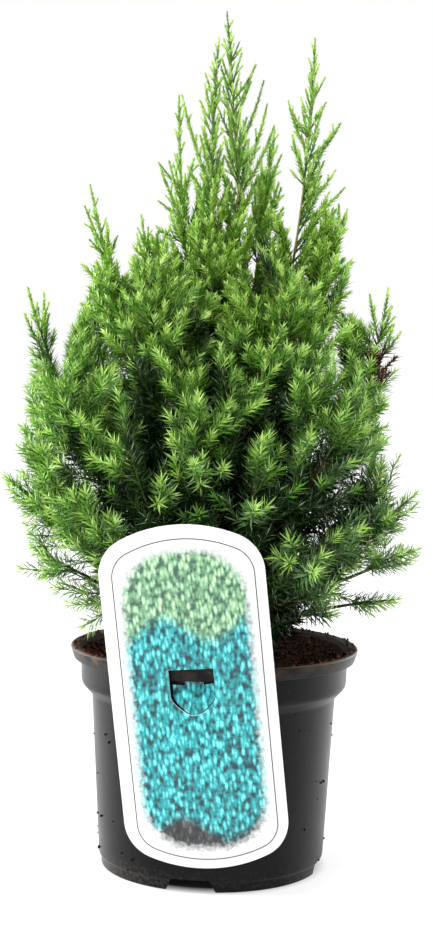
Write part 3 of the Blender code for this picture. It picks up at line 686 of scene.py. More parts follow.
def plateMesh(name, outline, thickness, hole=None, bevel=0.0):
    # a filled outline with softened edges, standing in XZ with its face to -Y
    curve = bpy.data.curves.new(name, "CURVE")
    curve.dimensions = "2D"
    curve.fill_mode = "BOTH"
    curve.extrude = (thickness / 2 - bevel) * mm
    curve.bevel_depth = bevel * mm
    curve.offset = -bevel * mm
    curve.bevel_resolution = 1
    for points in (outline, hole):
        if not points:
            continue
        spline = curve.splines.new("POLY")
        spline.points.add(len(points) - 1)
        for point, (x, y) in zip(spline.points, points):
            point.co = (x * mm, y * mm, 0, 1)
        spline.use_cyclic_u = True
    flat = bpy.data.objects.new(name, curve)
    bpy.context.scene.collection.objects.link(flat)
    mesh = finished(flat)
    bpy.data.curves.remove(curve)
    bm = bmesh.new()
    bm.from_mesh(mesh)
    bmesh.ops.remove_doubles(bm, verts=bm.verts, dist=2e-6)
    bmesh.ops.rotate(bm, verts=bm.verts, matrix=Matrix.Rotation(math.radians(90), 3, "X"))
    bmesh.ops.recalc_face_normals(bm, faces=bm.faces)
    bm.to_mesh(mesh)
    bm.free()
    return mesh


def leafShade(tree, sheet, turn):
    # 1 along the middle of each slim leaflet, 0 in the gaps between them
    slant = put(tree, "ShaderNodeMapping", {
        "Vector": sheet, "Rotation": (0, 0, math.radians(turn)), "Scale": (1.0, printed["leafStretch"], 1.0)})
    leaves = put(tree, "ShaderNodeTexVoronoi", {
        "Vector": slant.outputs[0], "Scale": 1 / printed["leafSize"], "Randomness": 0.9}, feature="F1")
    return between(tree, leaves.outputs["Distance"], 0.55, 0.20)


def threeTones(tree, shade, colours):
    dark, middle, light = colours
    lower = blend(tree, between(tree, shade, 0.10, 0.52), dark, middle)
    return blend(tree, between(tree, shade, 0.52, 1.0), lower, light)


def printMaterial():
    # white card with a soft-edged panel: waves of leaf shapes over a dark ground
    material, tree, shader = newMaterial("printedCard", Roughness=0.32, Specular_IOR_Level=0.45)
    shader.inputs["Coat Weight"].default_value = 0.25
    shader.inputs["Coat Roughness"].default_value = 0.15
    spot = tree.nodes.new("ShaderNodeUVMap")
    spot.uv_map = "sheet"
    # the map holds millimetres from the plate's middle, in hundredths
    sheet = put(tree, "ShaderNodeVectorMath", {0: spot.outputs[0], "Scale": 100.0}, operation="SCALE").outputs[0]
    centred = put(tree, "ShaderNodeVectorMath", {0: sheet, 1: (*printed["centre"], 0)}, operation="SUBTRACT")
    inner = [size - printed["corner"] for size in printed["half"]]
    away = put(tree, "ShaderNodeVectorMath", {0: centred.outputs[0]}, operation="ABSOLUTE")
    away = put(tree, "ShaderNodeVectorMath", {0: away.outputs[0], 1: (*inner, 0)}, operation="SUBTRACT")
    away = put(tree, "ShaderNodeVectorMath", {0: away.outputs[0], 1: (0, 0, 0)}, operation="MAXIMUM")
    away = put(tree, "ShaderNodeVectorMath", {0: away.outputs[0]}, operation="LENGTH").outputs["Value"]
    ragged = noiseOf(tree, sheet, 0.55, 4.0)
    edge = maths(tree, "ADD", away, maths(tree, "MULTIPLY", maths(tree, "SUBTRACT", ragged, 0.5), 7.0))
    panel = between(tree, edge, printed["corner"], printed["corner"] - printed["softness"])
    # leaflets that slant to the left over others that slant to the right
    lean = [leafShade(tree, sheet, turn) for turn in (printed["leafTurn"], -printed["leafTurn"])]
    leaf = maths(tree, "MAXIMUM", lean[0], maths(tree, "MULTIPLY", lean[1], 0.6))
    gaps = between(tree, noiseOf(tree, sheet, 0.32, 3.0), 0.36, 0.62)
    shade = maths(tree, "ADD", maths(tree, "MULTIPLY", leaf, 0.72), maths(tree, "MULTIPLY", gaps, 0.42))
    across = put(tree, "ShaderNodeSeparateXYZ", {0: sheet})
    wave = maths(tree, "SINE", maths(tree, "MULTIPLY", across.outputs["X"], 0.16))
    level = maths(tree, "ADD", across.outputs["Y"], maths(tree, "MULTIPLY", wave, 5.0))
    level = maths(tree, "ADD", level, maths(tree, "MULTIPLY", ragged, 6.0))
    high, low = printed["bands"]
    green, blue, ground = [threeTones(tree, shade, printed[name]) for name in ("paleGreen", "turquoise", "ground")]
    colour = blend(tree, between(tree, level, high, high + 6.0), blue, green)
    colour = blend(tree, between(tree, level, low, low - 5.0), colour, ground)
    colour = blend(tree, panel, label["white"], colour)
    tree.links.new(colour, shader.inputs["Base Color"])
    return material


def plainMaterial(name, colour, roughness, scale):
    material, tree, shader = newMaterial(name, Roughness=roughness, Specular_IOR_Level=0.4)
    worn = use(tree, patches, Scale=scale, Low=0.45, High=0.70)
    dull = tuple(c * 0.93 for c in colour)
    tree.links.new(blend(tree, worn.outputs["Mask"], colour, dull), shader.inputs["Base Color"])
    return material


def makeLabel():
    half = label["windowWidth"] / 2
    foot, shoulder, tip = label["windowFoot"], label["tongueShoulder"], label["tongueFoot"]
    shield = [(x * half, shoulder + (tip - shoulder) * y) for x, y in label["shield"]]
    hole = [(half, foot + label["windowHeight"]), (-half, foot + label["windowHeight"])]
    hole += [(-x, y) for x, y in shield] + shield[::-1]
    card = plateMesh("labelCard", labelOutline(), label["thickness"], hole, 0.08)
    side, stem = label["tongueWidth"] / 2 - 0.3, label["tongueStem"] / 2
    edge = [(x * side / half, y + 0.35) for x, y in shield[:-1]]
    tongueOutline = [(-1.2, tip - 1.0), (1.2, tip - 1.0)] + edge[::-1]
    tongueOutline += [(side, foot - 0.6), (stem, foot - 1.2), (stem - 0.4, foot + 3.5), (0.4 - stem, foot + 3.5),
                      (-stem, foot - 1.2), (-side, foot - 0.6)]
    tongueOutline += [(-x, y) for x, y in edge]
    tongue = plateMesh("labelTongue", tongueOutline, label["thickness"], None, 0.06)
    bm = bmesh.new()
    bm.from_mesh(tongue)
    bmesh.ops.bisect_plane(bm, geom=bm.verts[:] + bm.edges[:] + bm.faces[:], dist=1e-6,
                           plane_co=(0, 0, (tip + 11.5) * mm), plane_no=(0, 0, 1))
    bm.to_mesh(tongue)
    bm.free()
    hinge, back = tip - 1.0, math.tan(math.radians(18))
    for vert in tongue.vertices:
        rise = max(vert.co.z / mm - hinge, 0)
        vert.co.y += min(rise * back, 3.9 + rise * 0.02) * mm
    bm = bmesh.new()
    for mesh in (card, tongue):
        bm.from_mesh(mesh)
    sheet = bm.loops.layers.uv.new("sheet")
    for face in bm.faces:
        front = face.normal.y < -0.8
        face.material_index = 0 if front else 1
        for loop in face.loops:
            loop[sheet].uv = (loop.vert.co.x / mm / 100, loop.vert.co.z / mm / 100)
    # the printed line, a hair thick
    outer, inner = labelOutline(label["lineInset"]), labelOutline(label["lineInset"] + label["lineWidth"])
    front, thick = -label["thickness"] / 2, 0.03
    rings = []
    for outline, depth in ((outer, front + 0.05), (outer, front - thick), (inner, front - thick),
                           (inner, front + 0.05)):
        right, up = label["lineShift"]
        rings.append([bm.verts.new(((x + right) * mm, depth * mm, (y + up) * mm)) for x, y in outline])
    for k in range(4):
        first, second = rings[k], rings[(k + 1) % 4]
        for n in range(len(first)):
            on = (n + 1) % len(first)
            face = bm.faces.new((first[n], first[on], second[on], second[n]))
            face.material_index = 2
    place = labelPlace()
    for vert in bm.verts:
        vert.co = place @ (vert.co / mm) * mm
    bmesh.ops.recalc_face_normals(bm, faces=bm.faces)
    mesh = bpy.data.meshes.new("hangLabel")
    bm.to_mesh(mesh)
    bm.free()
    for material in (printMaterial(), plainMaterial("labelPlastic", label["white"], 0.35, 60.0),
                     plainMaterial("labelInk", label["line"], 0.5, 400.0)):
        mesh.materials.append(material)
    return addPiece("hangLabel", mesh, None, ["label"], 35)


makeLabel()
print("label made")


# limbs, by the same rule as the CAD model's

trunk = {
    # x, y, height, radius
    "rows": [(0.0, 2.0, 97.5, 7.6), (0.1, 2.0, 101.0, 6.1), (0.5, 1.8, 106.0, 5.2), (1.4, 1.4, 122.0, 4.7),
             (2.8, 0.8, 150.0, 4.2), (4.6, 0.6, 185.0, 3.6), (5.4, 0.4, 220.0, 2.9), (6.6, 0.2, 258.0, 2.2),
             (7.2, 0.0, 300.0, 1.4)],
    "sides": 30,
    "ringGap": 1.3,
    "relief": 0.11,
    "boughSides": 12,
}
growth = {
    "seed": 11,
    "golden": 137.5,
    "spacing": 21.5,
    "angle": 42.0,
    "lift": 0.16,
    "heights": (240.0, 345.0),  # long needles give way to short ones between these
    "coreRadius": (1.15, 0.85),
    "sprayNeedle": (10.2, 6.4),
    "tries": 4,
    "shortest": 1.75,
    "neck": 4.0,
    "cellMargin": 3.8,
    "limbSteps": 24,
    "gap": 0.3,
    "rootFit": 0.8,
}
# fork height, tip, last reach and its elevation, bare share, shoot length, known tips
limbTable = {
    "leader_main": (300, (0.2, -1, 382), 34, 84, 0, 17,
                    [(13.5, -3, 359), (18.8, 3, 343), (17.0, -5, 330)]),
    "leader_second": (212, (-3.1, -6, 370), 88, 95, -0.36, 18, [(-4.0, -12, 330)]),
    "leader_third": (190, (-20.5, 5, 346), 80, 89, -0.46, 20, [(-29.0, 5, 316), (-24.0, 10, 302)]),
    "leader_right": (172, (39.4, 0, 371.5), 105, 89, 0.50, 22,
                     [(27.6, -2, 343), (45.0, 2, 343), (51.6, 4, 335)]),
    "leader_left": (146, (-59.3, 0, 305.6), 58, 78, 0.46, 24,
                    [(-60.3, 2, 281), (-48.9, 3, 283), (-62.1, -4, 270)]),
    "leader_mid": (178, (-36.7, 8, 293), 50, 82, -0.40, 22, [(-39.0, 2, 277)]),
    "inner_right": (206, (22.6, 6, 332), 60, 84, -0.30, 22, [(29.0, 0, 316), (14.0, 9, 318)]),
    "upper_right": (144, (55.8, 5, 297), 52, 76, 0.42, 26, [(59.0, 0, 274), (47.0, 12, 285)]),
    "shoulder_left": (131, (-68.0, 16, 262), 56, 76, 0.44, 28, [(-62.0, 4, 256)]),
    "far_left": (120, (-86.3, -2, 259.4), 62, 76, 0.46, 30,
                 [(-75.4, 5, 242), (-87.3, -6, 229), (-87.5, 4, 206)]),
    "far_right": (123, (74.7, 0, 262.5), 62, 85, 0.46, 30,
                  [(81.0, -3, 242.5), (62.2, 5, 248.5), (79.3, 3, 232), (76.0, -4, 211)]),
    "side_left": (112, (-97.3, -4, 176.2), 40, 36, 0.44, 32, [(-91.5, 0, 198.5), (-92.9, -8, 165)]),
    "low_left": (104.5, (-85.5, -8, 145), 36, 28, 0.42, 30,
                 [(-88.5, -2, 154.5), (-81.2, -12, 131), (-61.0, -25, 109.5)]),
    "side_right": (117, (91.0, 0, 171.8), 42, 45, 0.42, 32,
                   [(82.0, 3, 188), (77.0, -3, 201), (86.4, -4, 153.6)]),
    "low_right": (110, (93.5, -6, 146.7), 40, 24, 0.40, 30, [(87.5, -12, 138.4), (80, 2, 152)]),
    "base_right": (102.5, (84.5, -10, 123.6), 45, 6, 0.38, 24, [(78.0, -14, 114), (53.0, -17, 117)]),
    "front_left": (115, (-38.0, -60, 197), 46, 68, 0.32, 34, []),
    "front_centre": (121, (-9.0, -66, 218), 50, 70, 0.34, 34, []),
    "front_right": (110, (18.0, -66, 200), 50, 68, 0.32, 34, []),
    "front_side_right": (135, (55.0, -50, 212), 50, 66, 0.36, 34, []),
    "front_side_left": (141, (-70.0, -38, 220), 50, 68, 0.38, 34, []),
    "front_low_right": (105, (48.0, -52, 156), 36, 46, 0.34, 30, []),
    "front_low_left": (107, (-56.0, -46, 164), 36, 46, 0.34, 30, []),
    "front_upper_left": (158, (-34.0, -36, 262), 54, 76, -0.34, 32, []),
    "front_upper_right": (154, (31.0, -36, 266), 54, 76, -0.34, 32, []),
    "back_left": (125, (-54.0, 56, 222), 50, 68, 0.38, 34, []),
    "back_centre": (112, (-4.0, 76, 198), 46, 58, 0.38, 36, []),
    "back_right": (119, (56.0, 56, 226), 50, 68, 0.38, 34, []),
    "back_upper_left": (170, (-24.0, 42, 276), 54, 76, -0.34, 32, []),
    "back_upper_right": (166, (24.0, 44, 284), 54, 76, -0.34, 32, []),
    "back_low_left": (108, (-62.0, 52, 146), 36, 30, 0.40, 32, []),
    "back_low_right": (103.5, (62.0, 52, 142), 36, 30, 0.40, 32, []),
}


def makePath(points):
    points = np.array([tuple(p) for p in points], float)
    steps = np.linalg.norm(np.diff(points, axis=0), axis=1)
    marks = np.concatenate([[0.0], np.cumsum(steps)])
    return {"points": points, "marks": marks, "length": float(marks[-1])}


def pointAt(path, distance):
    columns = [np.interp(distance, path["marks"], path["points"][:, i]) for i in range(3)]
    return np.stack(columns, axis=-1)


def unit(vector):
    return vector / np.linalg.norm(vector)


def headingAt(path, distance):
    reach = 0.5
    return unit(pointAt(path, distance + reach) - pointAt(path, distance - reach))


def stretch(path, start, end, steps):
    return pointAt(path, np.linspace(start, end, steps + 1))


trunkRows = np.array(trunk["rows"])


def trunkPoint(height):
    return np.array([np.interp(height, trunkRows[:, 2], trunkRows[:, i]) for i in range(3)])


def trunkRadius(height):
    return float(np.interp(height, trunkRows[:, 2], trunkRows[:, 3]))


def byHeight(pair, height):
    return float(np.interp(height, growth["heights"], pair))


def makeLimb(index, name, fork, tip, lead, elevation, bare, shoot, tips):
    root, tip = trunkPoint(fork), np.array(tip, float)
    out = unit(np.array([tip[0] - root[0], tip[1] - root[1], 0.0]))
    rise = math.radians(elevation)
    approach = tip - lead * (out * math.cos(rise) + np.array([0, 0, math.sin(rise)]))
    leave = root + (approach - root) * np.array([0.45, 0.45, 0.3])
    curve = []
    for k in range(growth["limbSteps"] + 1):
        t = k / growth["limbSteps"]
        curve.append((1 - t) ** 3 * root + 3 * t * (1 - t) ** 2 * leave + 3 * t * t * (1 - t) * approach
                     + t ** 3 * tip)
    path = makePath(curve)
    length = path["length"]
    rootRadius = 1.3 + 0.009 * length if bare > 0 else growth["coreRadius"][0]
    limb = {"name": name, "index": index, "path": path, "rootRadius": rootRadius, "shoot": shoot, "tips": tips,
            "bough": bare > 0, "spines": []}
    limb["start"] = growth["gap"] if fork >= trunkRows[-1, 2] else clearOfTrunk(path, rootRadius)
    limb["boughEnd"] = length * bare if bare > 0 else limb["start"]
    limb["foliage"] = limb["boughEnd"] + (growth["gap"] if bare > 0 else 0)
    limb["bareStem"] = growth["neck"] + max(-bare, 0) * length
    return limb


def clearOfTrunk(path, rootRadius):
    mark, gap = 0.0, 0.0
    while gap < growth["gap"]:
        mark += 0.05
        point = pointAt(path, mark)
        arm = point - trunkPoint(point[2])
        arm[2] = 0
        reach = np.linalg.norm(arm)
        lean = float(headingAt(path, mark) @ (arm / reach))
        gap = reach - trunkRadius(point[2]) - growth["rootFit"] * rootRadius * math.sqrt(1 - lean * lean)
    return mark


def newField():
    return {"starts": [], "ends": [], "owners": [], "radii": [], "arrays": None}


def addWood(field, points, owner, radius):
    for a, b in zip(points, points[1:]):
        field["starts"].append(a)
        field["ends"].append(b)
        field["owners"].append(owner)
        field["radii"].append(radius)
    field["arrays"] = None


def distancesTo(field, point):
    # from one point to each stretch of wood, and whose wood that is
    if field["arrays"] is None:
        field["arrays"] = [np.array(field[key]) for key in ("starts", "ends", "owners", "radii")]
    starts, ends, owners, radii = field["arrays"]
    along = ends - starts
    share = ((point - starts) * along).sum(1) / np.maximum((along * along).sum(1), 1e-9)
    nearest = starts + np.clip(share, 0, 1)[:, None] * along
    return np.sqrt(((point - nearest) ** 2).sum(1)) - radii, owners


def isOwn(field, point, owner, margin):
    away, owners = distancesTo(field, point)
    return away[owners == owner].min() + margin < away[owners != owner].min()


labelBack = labelPlace().inverted()


def roomAt(point):
    # how far a point stands from the pot, the soil and the label's plate
    radius = math.hypot(point[0], point[1])
    top = pot["height"] + 0.6
    if radius < pot["collarRadius"] - 2:
        above = point[2] - (soil["edge"] + soil["mound"] + 0.6)
    else:
        beside = radius - pot["lipRadius"] - 1
        above = math.hypot(max(point[2] - top, 0), max(beside, 0))
        if point[2] < top and beside < 0:
            above = -1.0
    local = labelBack @ Vector(point)
    across = max(abs(local.x) - label["width"] / 2 - 2, local.z - label["height"] / 2 - 2)
    behind = local.y - label["thickness"] - 0.8
    plate = math.hypot(max(across, 0), max(behind, 0)) if max(across, behind) > 0 else -1.0
    return min(above, plate)


def isFree(point, margin):
    radius = math.hypot(point[0], point[1])
    if radius < pot["collarRadius"] - 2 and point[2] < soil["edge"] + soil["mound"] + 0.6 + margin:
        return False
    inLip = pot["collarRadius"] - 2 <= radius < pot["lipRadius"] + margin + 1
    if inLip and point[2] < pot["height"] + 0.6 + margin:
        return False
    if point[2] < soil["edge"] + 2:
        return False
    local = labelBack @ Vector(point)
    beside = abs(local.x) > label["width"] / 2 + 2 or local.z > label["height"] / 2 + 2
    return beside or local.y > label["thickness"] + 0.8 + margin


def shootSpine(root, tip, along):
    way = tip - root
    side = (way - along * (way @ along)) * 0.10
    return [root, root + way * 0.35 + side * 0.8, root + way * 0.7 + side * 0.7, tip]


def fits(spine, owner, cells, wood, margin):
    path = makePath(spine)
    steps = max(3, int(path["length"] / 4))
    core = growth["coreRadius"][0]
    for k in range(1, steps + 1):
        point = pointAt(path, path["length"] * k / steps)
        if not (isFree(point, core) and isOwn(cells, point, owner, margin)
                and distancesTo(wood, point)[0].min() > core + 0.6):
            return False
    return True


def growShoot(limb, mark, tip, cells, wood, shares=(1.0, 0.8, 0.62), margin=None, shortest=None):
    path = limb["path"]
    root = pointAt(path, mark)
    for share in shares:
        end = root + (tip - root) * share
        spine = shootSpine(root, end, headingAt(path, mark))
        least = shortest or growth["shortest"] * byHeight(growth["sprayNeedle"], end[2])
        room = growth["cellMargin"] if margin is None else margin
        if np.linalg.norm(end - root) > least and fits(spine, limb["index"], cells, wood, room):
            limb["spines"].append(spine)
            return True
    return False


def sideWay(along, angle, turn, lift):
    # a heading that leaves along at an angle, turned round it
    side = Vector(along).orthogonal().normalized()
    side.rotate(Matrix.Rotation(turn, 3, Vector(along)))
    way = along * math.cos(angle) + np.array(side) * math.sin(angle) + np.array([0, 0, lift])
    return unit(way)


def growMass(limb, cells, wood):
    rng = random.Random(growth["seed"] * 100 + limb["index"])
    path, shoot = limb["path"], limb["shoot"]
    length = path["length"]
    first = limb["foliage"] + limb["bareStem"]
    for tip in limb["tips"]:
        tip = np.array(tip, float)
        near = min((k * length / 60 for k in range(61)), key=lambda d: np.linalg.norm(pointAt(path, d) - tip))
        mark = max(first, near - 1.25 * np.linalg.norm(pointAt(path, near) - tip))
        growShoot(limb, mark, tip, cells, wood)
    limb["known"] = len(limb["spines"])
    mark = first + rng.uniform(0, 6)
    turn = rng.uniform(0, math.tau)
    while mark < length - 0.8 * shoot:
        share = (mark - first) / (length - first)
        reach = shoot * (1.25 - 0.6 * share) * rng.uniform(0.88, 1.12)
        angle = math.radians(growth["angle"] + rng.uniform(-7, 7))
        for _ in range(growth["tries"]):
            way = sideWay(headingAt(path, mark), angle, turn, growth["lift"])
            turn += math.radians(growth["golden"])
            if growShoot(limb, mark, pointAt(path, mark) + way * reach, cells, wood):
                break
        mark += growth["spacing"] * (1.1 - 0.4 * share)


# finer growth: branches on limbs, shoots on those and twigs on those

fine = {
    "seed": 23,
    "tries": 5,
    "heights": (140.0, 225.0, 285.0, 340.0),  # the four values of a rule hold at these, the lower crown's first
    "stray": (206.0, 236.0, 70.0),  # above these a limb outside the crown's body grows as if this much higher
    "bodyTo": (286.0, 40.0, 9.0, 0.22),  # the body's upper end, how much and finely it varies, and its slope in x
    "crowding": (9.0, 7.4),  # least space between the ends of branches, and of twigs
    "crowdingShare": (1.0, 0.76, 0.52, 0.32),
    "fromTrunk": (112.0, 300.0),
    "nearLimb": (10.0, 7.0, 11.0, 11.0),  # past the crown's outline a twig stays this near its limb
    "leaderFrom": 262.0,  # above this a limb bears twigs itself
    "leaderTop": 34.0,  # but one with arms only on its last stretch
    "stemRadius": (1.3, 1.2, 1.0, 0.7),
    "shootRadius": (0.58, 0.50, 0.48, 0.62),
    "twigRadius": (0.38, 0.34, 0.38, 0.54),
    "tipRadius": 0.20,
    "step": 4.0,
    "endTrim": (4.5, 3.6, 2.4, 1.4),
    "needle": (9.0, 7.0, 4.8, 3.3),
    "needleTilt": (60.0, 50.0, 37.0, 25.0),
    "tipTilt": (36.0, 30.0, 22.0, 17.0),
    "opening": (8.0, 9.0, 10.0, 11.0),  # over this last stretch the needles close up to the tip's tilt
    "shorter": (0.24, 0.32, 0.36, 0.40),  # and grow shorter by this share
    "flatness": 0.55,
    "mostFaces": 190000,
}
orders = [
    {"spacing": (5.2, 4.6, 3.4, 3.2), "angle": (42.0, 36.0, 30.0, 27.0), "lift": (0.42, 0.60, 0.40, 0.12),
     "reach": (46.0, 36.0, 27.0, 19.0), "bend": (0.22, 0.25, 0.18, 0.08), "least": (12.0, 10.0, 7.0, 5.0),
     "ahead": (0.85, 0.75, 0.60, 0.42), "taper": 0.4, "first": 0.0, "endGap": 9.0},
    {"spacing": (9.0, 6.4, 5.2, 6.4), "angle": (38.0, 35.0, 33.0, 34.0), "lift": (0.30, 0.40, 0.25, 0.08),
     "reach": (21.0, 15.0, 9.5, 6.6), "bend": (0.16, 0.16, 0.10, 0.06), "least": (6.0, 5.0, 3.6, 3.0),
     "ahead": (0.80, 0.80, 0.75, 0.70), "taper": 0.4, "first": 0.2, "endGap": 4.0},
]
# hollows of the crown, which stay dark, their needles painted in shade: x, y and height of the middle, and half the
# width, depth and height
hollows = [(-29, -58, 202, 7, 30, 23), (-12, -46, 237, 4.5, 18, 7.5), (19, -32, 262, 3, 16, 7),
           (9, -64, 182, 5, 30, 15.5), (28, -58, 198, 5, 24, 10), (50, -54, 171, 4.5, 14, 9),
           (-2, -62, 215, 4, 22, 7.5), (-60, -40, 183, 3.5, 18, 11), (-38, -58, 168, 4, 24, 10)]
# openings right through it, where the sky shows: x and height of the middle, and half the width and height
openings = [(34, 290, 4.5, 18), (-44, 274, 3.5, 6), (-72, 235, 5.5, 17), (69, 128.5, 17, 7), (53, 116, 12, 3.5),
            (-62, 139, 8, 6.5), (87, 190, 6, 11), (44, 188, 8, 9), (-13.5, 298, 2.5, 6), (57, 258, 4, 8),
            (48, 213, 3.5, 5), (-73, 141, 6, 5), (56, 208, 4, 4), (65, 198, 3, 4.5), (58, 197, 3, 3),
            (63, 184, 3, 3), (65, 151, 3.5, 3.5), (53, 140, 3.5, 3.5), (46, 201, 4, 4.5), (76, 180, 3.5, 5),
            (71, 240, 4, 3.5), (63, 236, 3, 4), (52, 222, 4, 3.5), (49, 263, 3.5, 4), (-69, 266, 7, 18),
            (14, 271, 2.5, 10), (18, 288, 2.5, 5), (55, 279, 3, 8)]
throughDepth = 120.0
moreHollows = {"count": 17, "turns": (112, 248), "heights": (135, 285), "wide": (9, 13), "tall": (11, 24),
               "depth": 0.86}
# shoots to places that no twig's end has reached yet; the spread is round the crown's two sides,
# and the depth, rise and outward are shares
fillers = [
    {"tries": 5000, "space": 7.6, "spread": 90, "depth": (0.72, 0.99), "reach": (16.0, 58.0),
     "rise": (0.25, 0.50, 0.85, 0.96), "outward": -1.0, "twigs": True},
    {"tries": 1600, "space": 6.4, "spread": 24, "depth": (0.88, 1.0), "reach": (12.0, 40.0),
     "rise": (0.25, 0.60, 0.88, 0.96), "outward": -1.0, "twigs": True},
    {"tries": 9000, "space": 6.4, "spread": 90, "depth": (0.15, 0.74), "reach": (12.0, 48.0),
     "rise": (0.10, 0.25, 0.70, 0.90), "outward": -1.0, "twigs": False},
]
edges = {"reach": (13.0, 50.0), "rise": (-0.20, 0.35, 0.70, 0.90), "outward": 0.25, "twigs": True}
# ends of the slim arms on the leaders, and how high up the leader they leave
arms = {
    "leader_main": [(13, 4, 360, 338), (-2, -3, 358, 345), (17, -4, 352, 320), (19, 6, 343, 304),
                    (22, -8, 332, 290), (-1, 2, 350, 329), (0, -6, 327, 309), (-1, 8, 314, 294),
                    (7, 2, 367, 360), (6, 16, 323, 300), (7, -14, 333, 308), (11, 10, 327, 300)],
    "trunk": [(9, 6, 320, 302), (11, -5, 312, 297), (16, 4, 312, 294), (13, -8, 305, 290),
              (4, 5, 301, 290), (2, -4, 306, 292), (-1, 2, 313, 292)],
    "leader_second": [(-9, -6, 350, 334), (-11, -2, 343, 332), (-2, -10, 349, 336), (-19, -4, 345, 303),
                      (-16, -6, 314, 298), (-10, -12, 331, 317), (-6, -4, 360, 354), (-8, 2, 326, 307),
                      (-3, -14, 332, 314), (-13, -10, 307, 288), (-5, -14, 303, 284)],
    "leader_third": [(-22, 5, 331, 325), (-22, 8, 320, 311), (-29, 5, 316, 290), (-29, 2, 299, 292),
                     (-30, 4, 288, 280), (-18, 6, 340, 331), (-20, 14, 309, 293), (-16, -4, 303, 286),
                     (-24, 10, 295, 277)],
    "leader_left": [(-52, 0, 291, 284), (-48, 3, 282, 271), (-59, -3, 281, 274), (-58, 2, 294, 287),
                    (-63, -6, 253, 241), (-63, 4, 246, 234)],
    "far_left": [(-82, 2, 251, 242), (-75, 5, 241, 230), (-85, -4, 241, 232), (-86, 3, 232, 223)],
    "far_right": [(77, 3, 246, 237), (81, 0, 243, 227), (79, -4, 232, 220), (78, 4, 226, 214), (67, 4, 246, 236),
                  (61, -8, 248, 234)],
    "leader_mid": [(-38, 6, 287, 280), (-32, 10, 282, 273), (-40, 4, 279, 272)],
    "leader_right": [(28, 0, 344, 321), (30, -3, 329, 310), (30, 3, 314, 307), (41, 2, 351, 341),
                     (45, 3, 344, 331), (52, 4, 335, 313), (50, 2, 314, 295), (54, -2, 306, 289),
                     (56, 4, 288, 278), (33, -8, 322, 307), (41, 10, 321, 299), (46, -8, 300, 279),
                     (44, 8, 294, 276), (42, -10, 304, 285), (48, 12, 305, 280), (50, -9, 296, 273),
                     (46, -4, 288, 270), (42, 6, 287, 267)],
    "inner_right": [(23, 6, 312, 299), (26, 4, 306, 285), (27, 0, 297, 282), (17, -6, 308, 292),
                    (13, 8, 300, 283), (20, -8, 297, 280)],
    "upper_right": [(52, 6, 299, 285), (48, -6, 289, 274), (55, 2, 276, 263), (51, 10, 286, 270),
                    (58, -5, 274, 263), (59, 6, 261, 251)],
}
# tips that stand out along the crown's two sides, which such shoots reach first
edgeTips = [(-85, -8, 227), (-88, 6, 216), (-86, -6, 209), (-88, 8, 205), (-91, 0, 198), (-86, -8, 188),
            (-91, 4, 178), (-91, -8, 165), (-88, -2, 161), (-88, -8, 154), (-86, -4, 149), (-85, -6, 144),
            (-79, -12, 136), (-67, -24, 120), (-61, -16, 121), (-55, -40, 143), (-72, -6, 224),
            (75, -4, 220), (76, 2, 211), (77, -4, 201), (78, 8, 195), (82, -2, 187), (87, -6, 163),
            (86, 2, 154), (85, -8, 140), (77, -14, 121), (56, 5, 254)]
# half width of the crown's body by height, to the left, right, front and back
outline = {
    "heights": (98, 112, 121, 129, 137, 145, 161, 177, 193, 209, 225, 235, 247, 259, 273, 283, 297, 308),
    "left": (30, 34, 40, 52, 63, 74, 83, 86, 88, 88, 87, 79, 64, 61, 57, 30, 20, 16),
    "right": (36, 44, 48, 56, 66, 76, 81, 78, 78, 76, 78, 74, 62, 60, 59, 56, 52, 44),
    "front": (32, 42, 50, 54, 58, 62, 66, 68, 68, 66, 62, 58, 50, 41, 30, 22, 15, 12),
    "back": (34, 44, 52, 58, 62, 66, 70, 72, 72, 70, 66, 62, 54, 44, 32, 24, 17, 14),
}


def outerShare(point):
    # 0 on the trunk's axis, 1 on the crown's outline
    height = point[2]
    wide = np.interp(height, outline["heights"], outline["left" if point[0] < 0 else "right"])
    deep = np.interp(height, outline["heights"], outline["front" if point[1] < 0 else "back"])
    return (abs(point[0] / wide) ** 2.3 + abs(point[1] / deep) ** 2.3) ** (1 / 2.3)


def topAt(point):
    # the body's jagged upper end
    height, varies, across, slope = fine["bodyTo"]
    return height + varies * noise.noise(Vector((point[0] / across, point[1] / across, 0.5))) + slope * point[0]


def otherHollows():
    # more of them at random where the photograph doesn't look
    rng = random.Random(fine["seed"] + 2)
    rows = []
    for _ in range(moreHollows["count"]):
        turn, height = math.radians(rng.uniform(*moreHollows["turns"])), rng.uniform(*moreHollows["heights"])
        aim = np.array([math.sin(turn), -math.cos(turn), 0.0])
        foot = np.array([0, 0, height])
        wide, tall = rng.uniform(*moreHollows["wide"]), rng.uniform(*moreHollows["tall"])
        rows.append((*(foot + aim * moreHollows["depth"] / outerShare(foot + aim)), wide, wide, tall))
    return rows


def nearest(rows, point):
    # 0 in the middle of a hollow, 1 on its edge
    return float(np.sqrt((((point - rows[:, :3]) / rows[:, 3:]) ** 2).sum(1)).min())


darkPlaces = np.array(hollows + otherHollows(), float)
skyPlaces = np.array([(x, 0, height, wide, throughDepth, tall) for x, height, wide, tall in openings])


def isHollow(point):
    return nearest(darkPlaces, point) < 1 or nearest(skyPlaces, point) < 1


def grownHeight(point):
    # limbs that stand out of the body on their own are slim like the leaders
    low, high, more = fine["stray"]
    out = np.interp(outerShare(point), (1.0, 1.1), (0, 1)) * np.interp(point[2], (low, high), (0, 1))
    return point[2] + more * out


def changing(values, height):
    return float(np.interp(height, fine["heights"], values))


def nearPath(path, point):
    return np.linalg.norm(path["points"] - point, axis=1).min()


def bentSpine(root, way, reach, bend):
    points = []
    for k in range(5):
        share = k / 4
        points.append(root + way * reach * share + np.array([0, 0, bend * reach * share * share]))
    return points


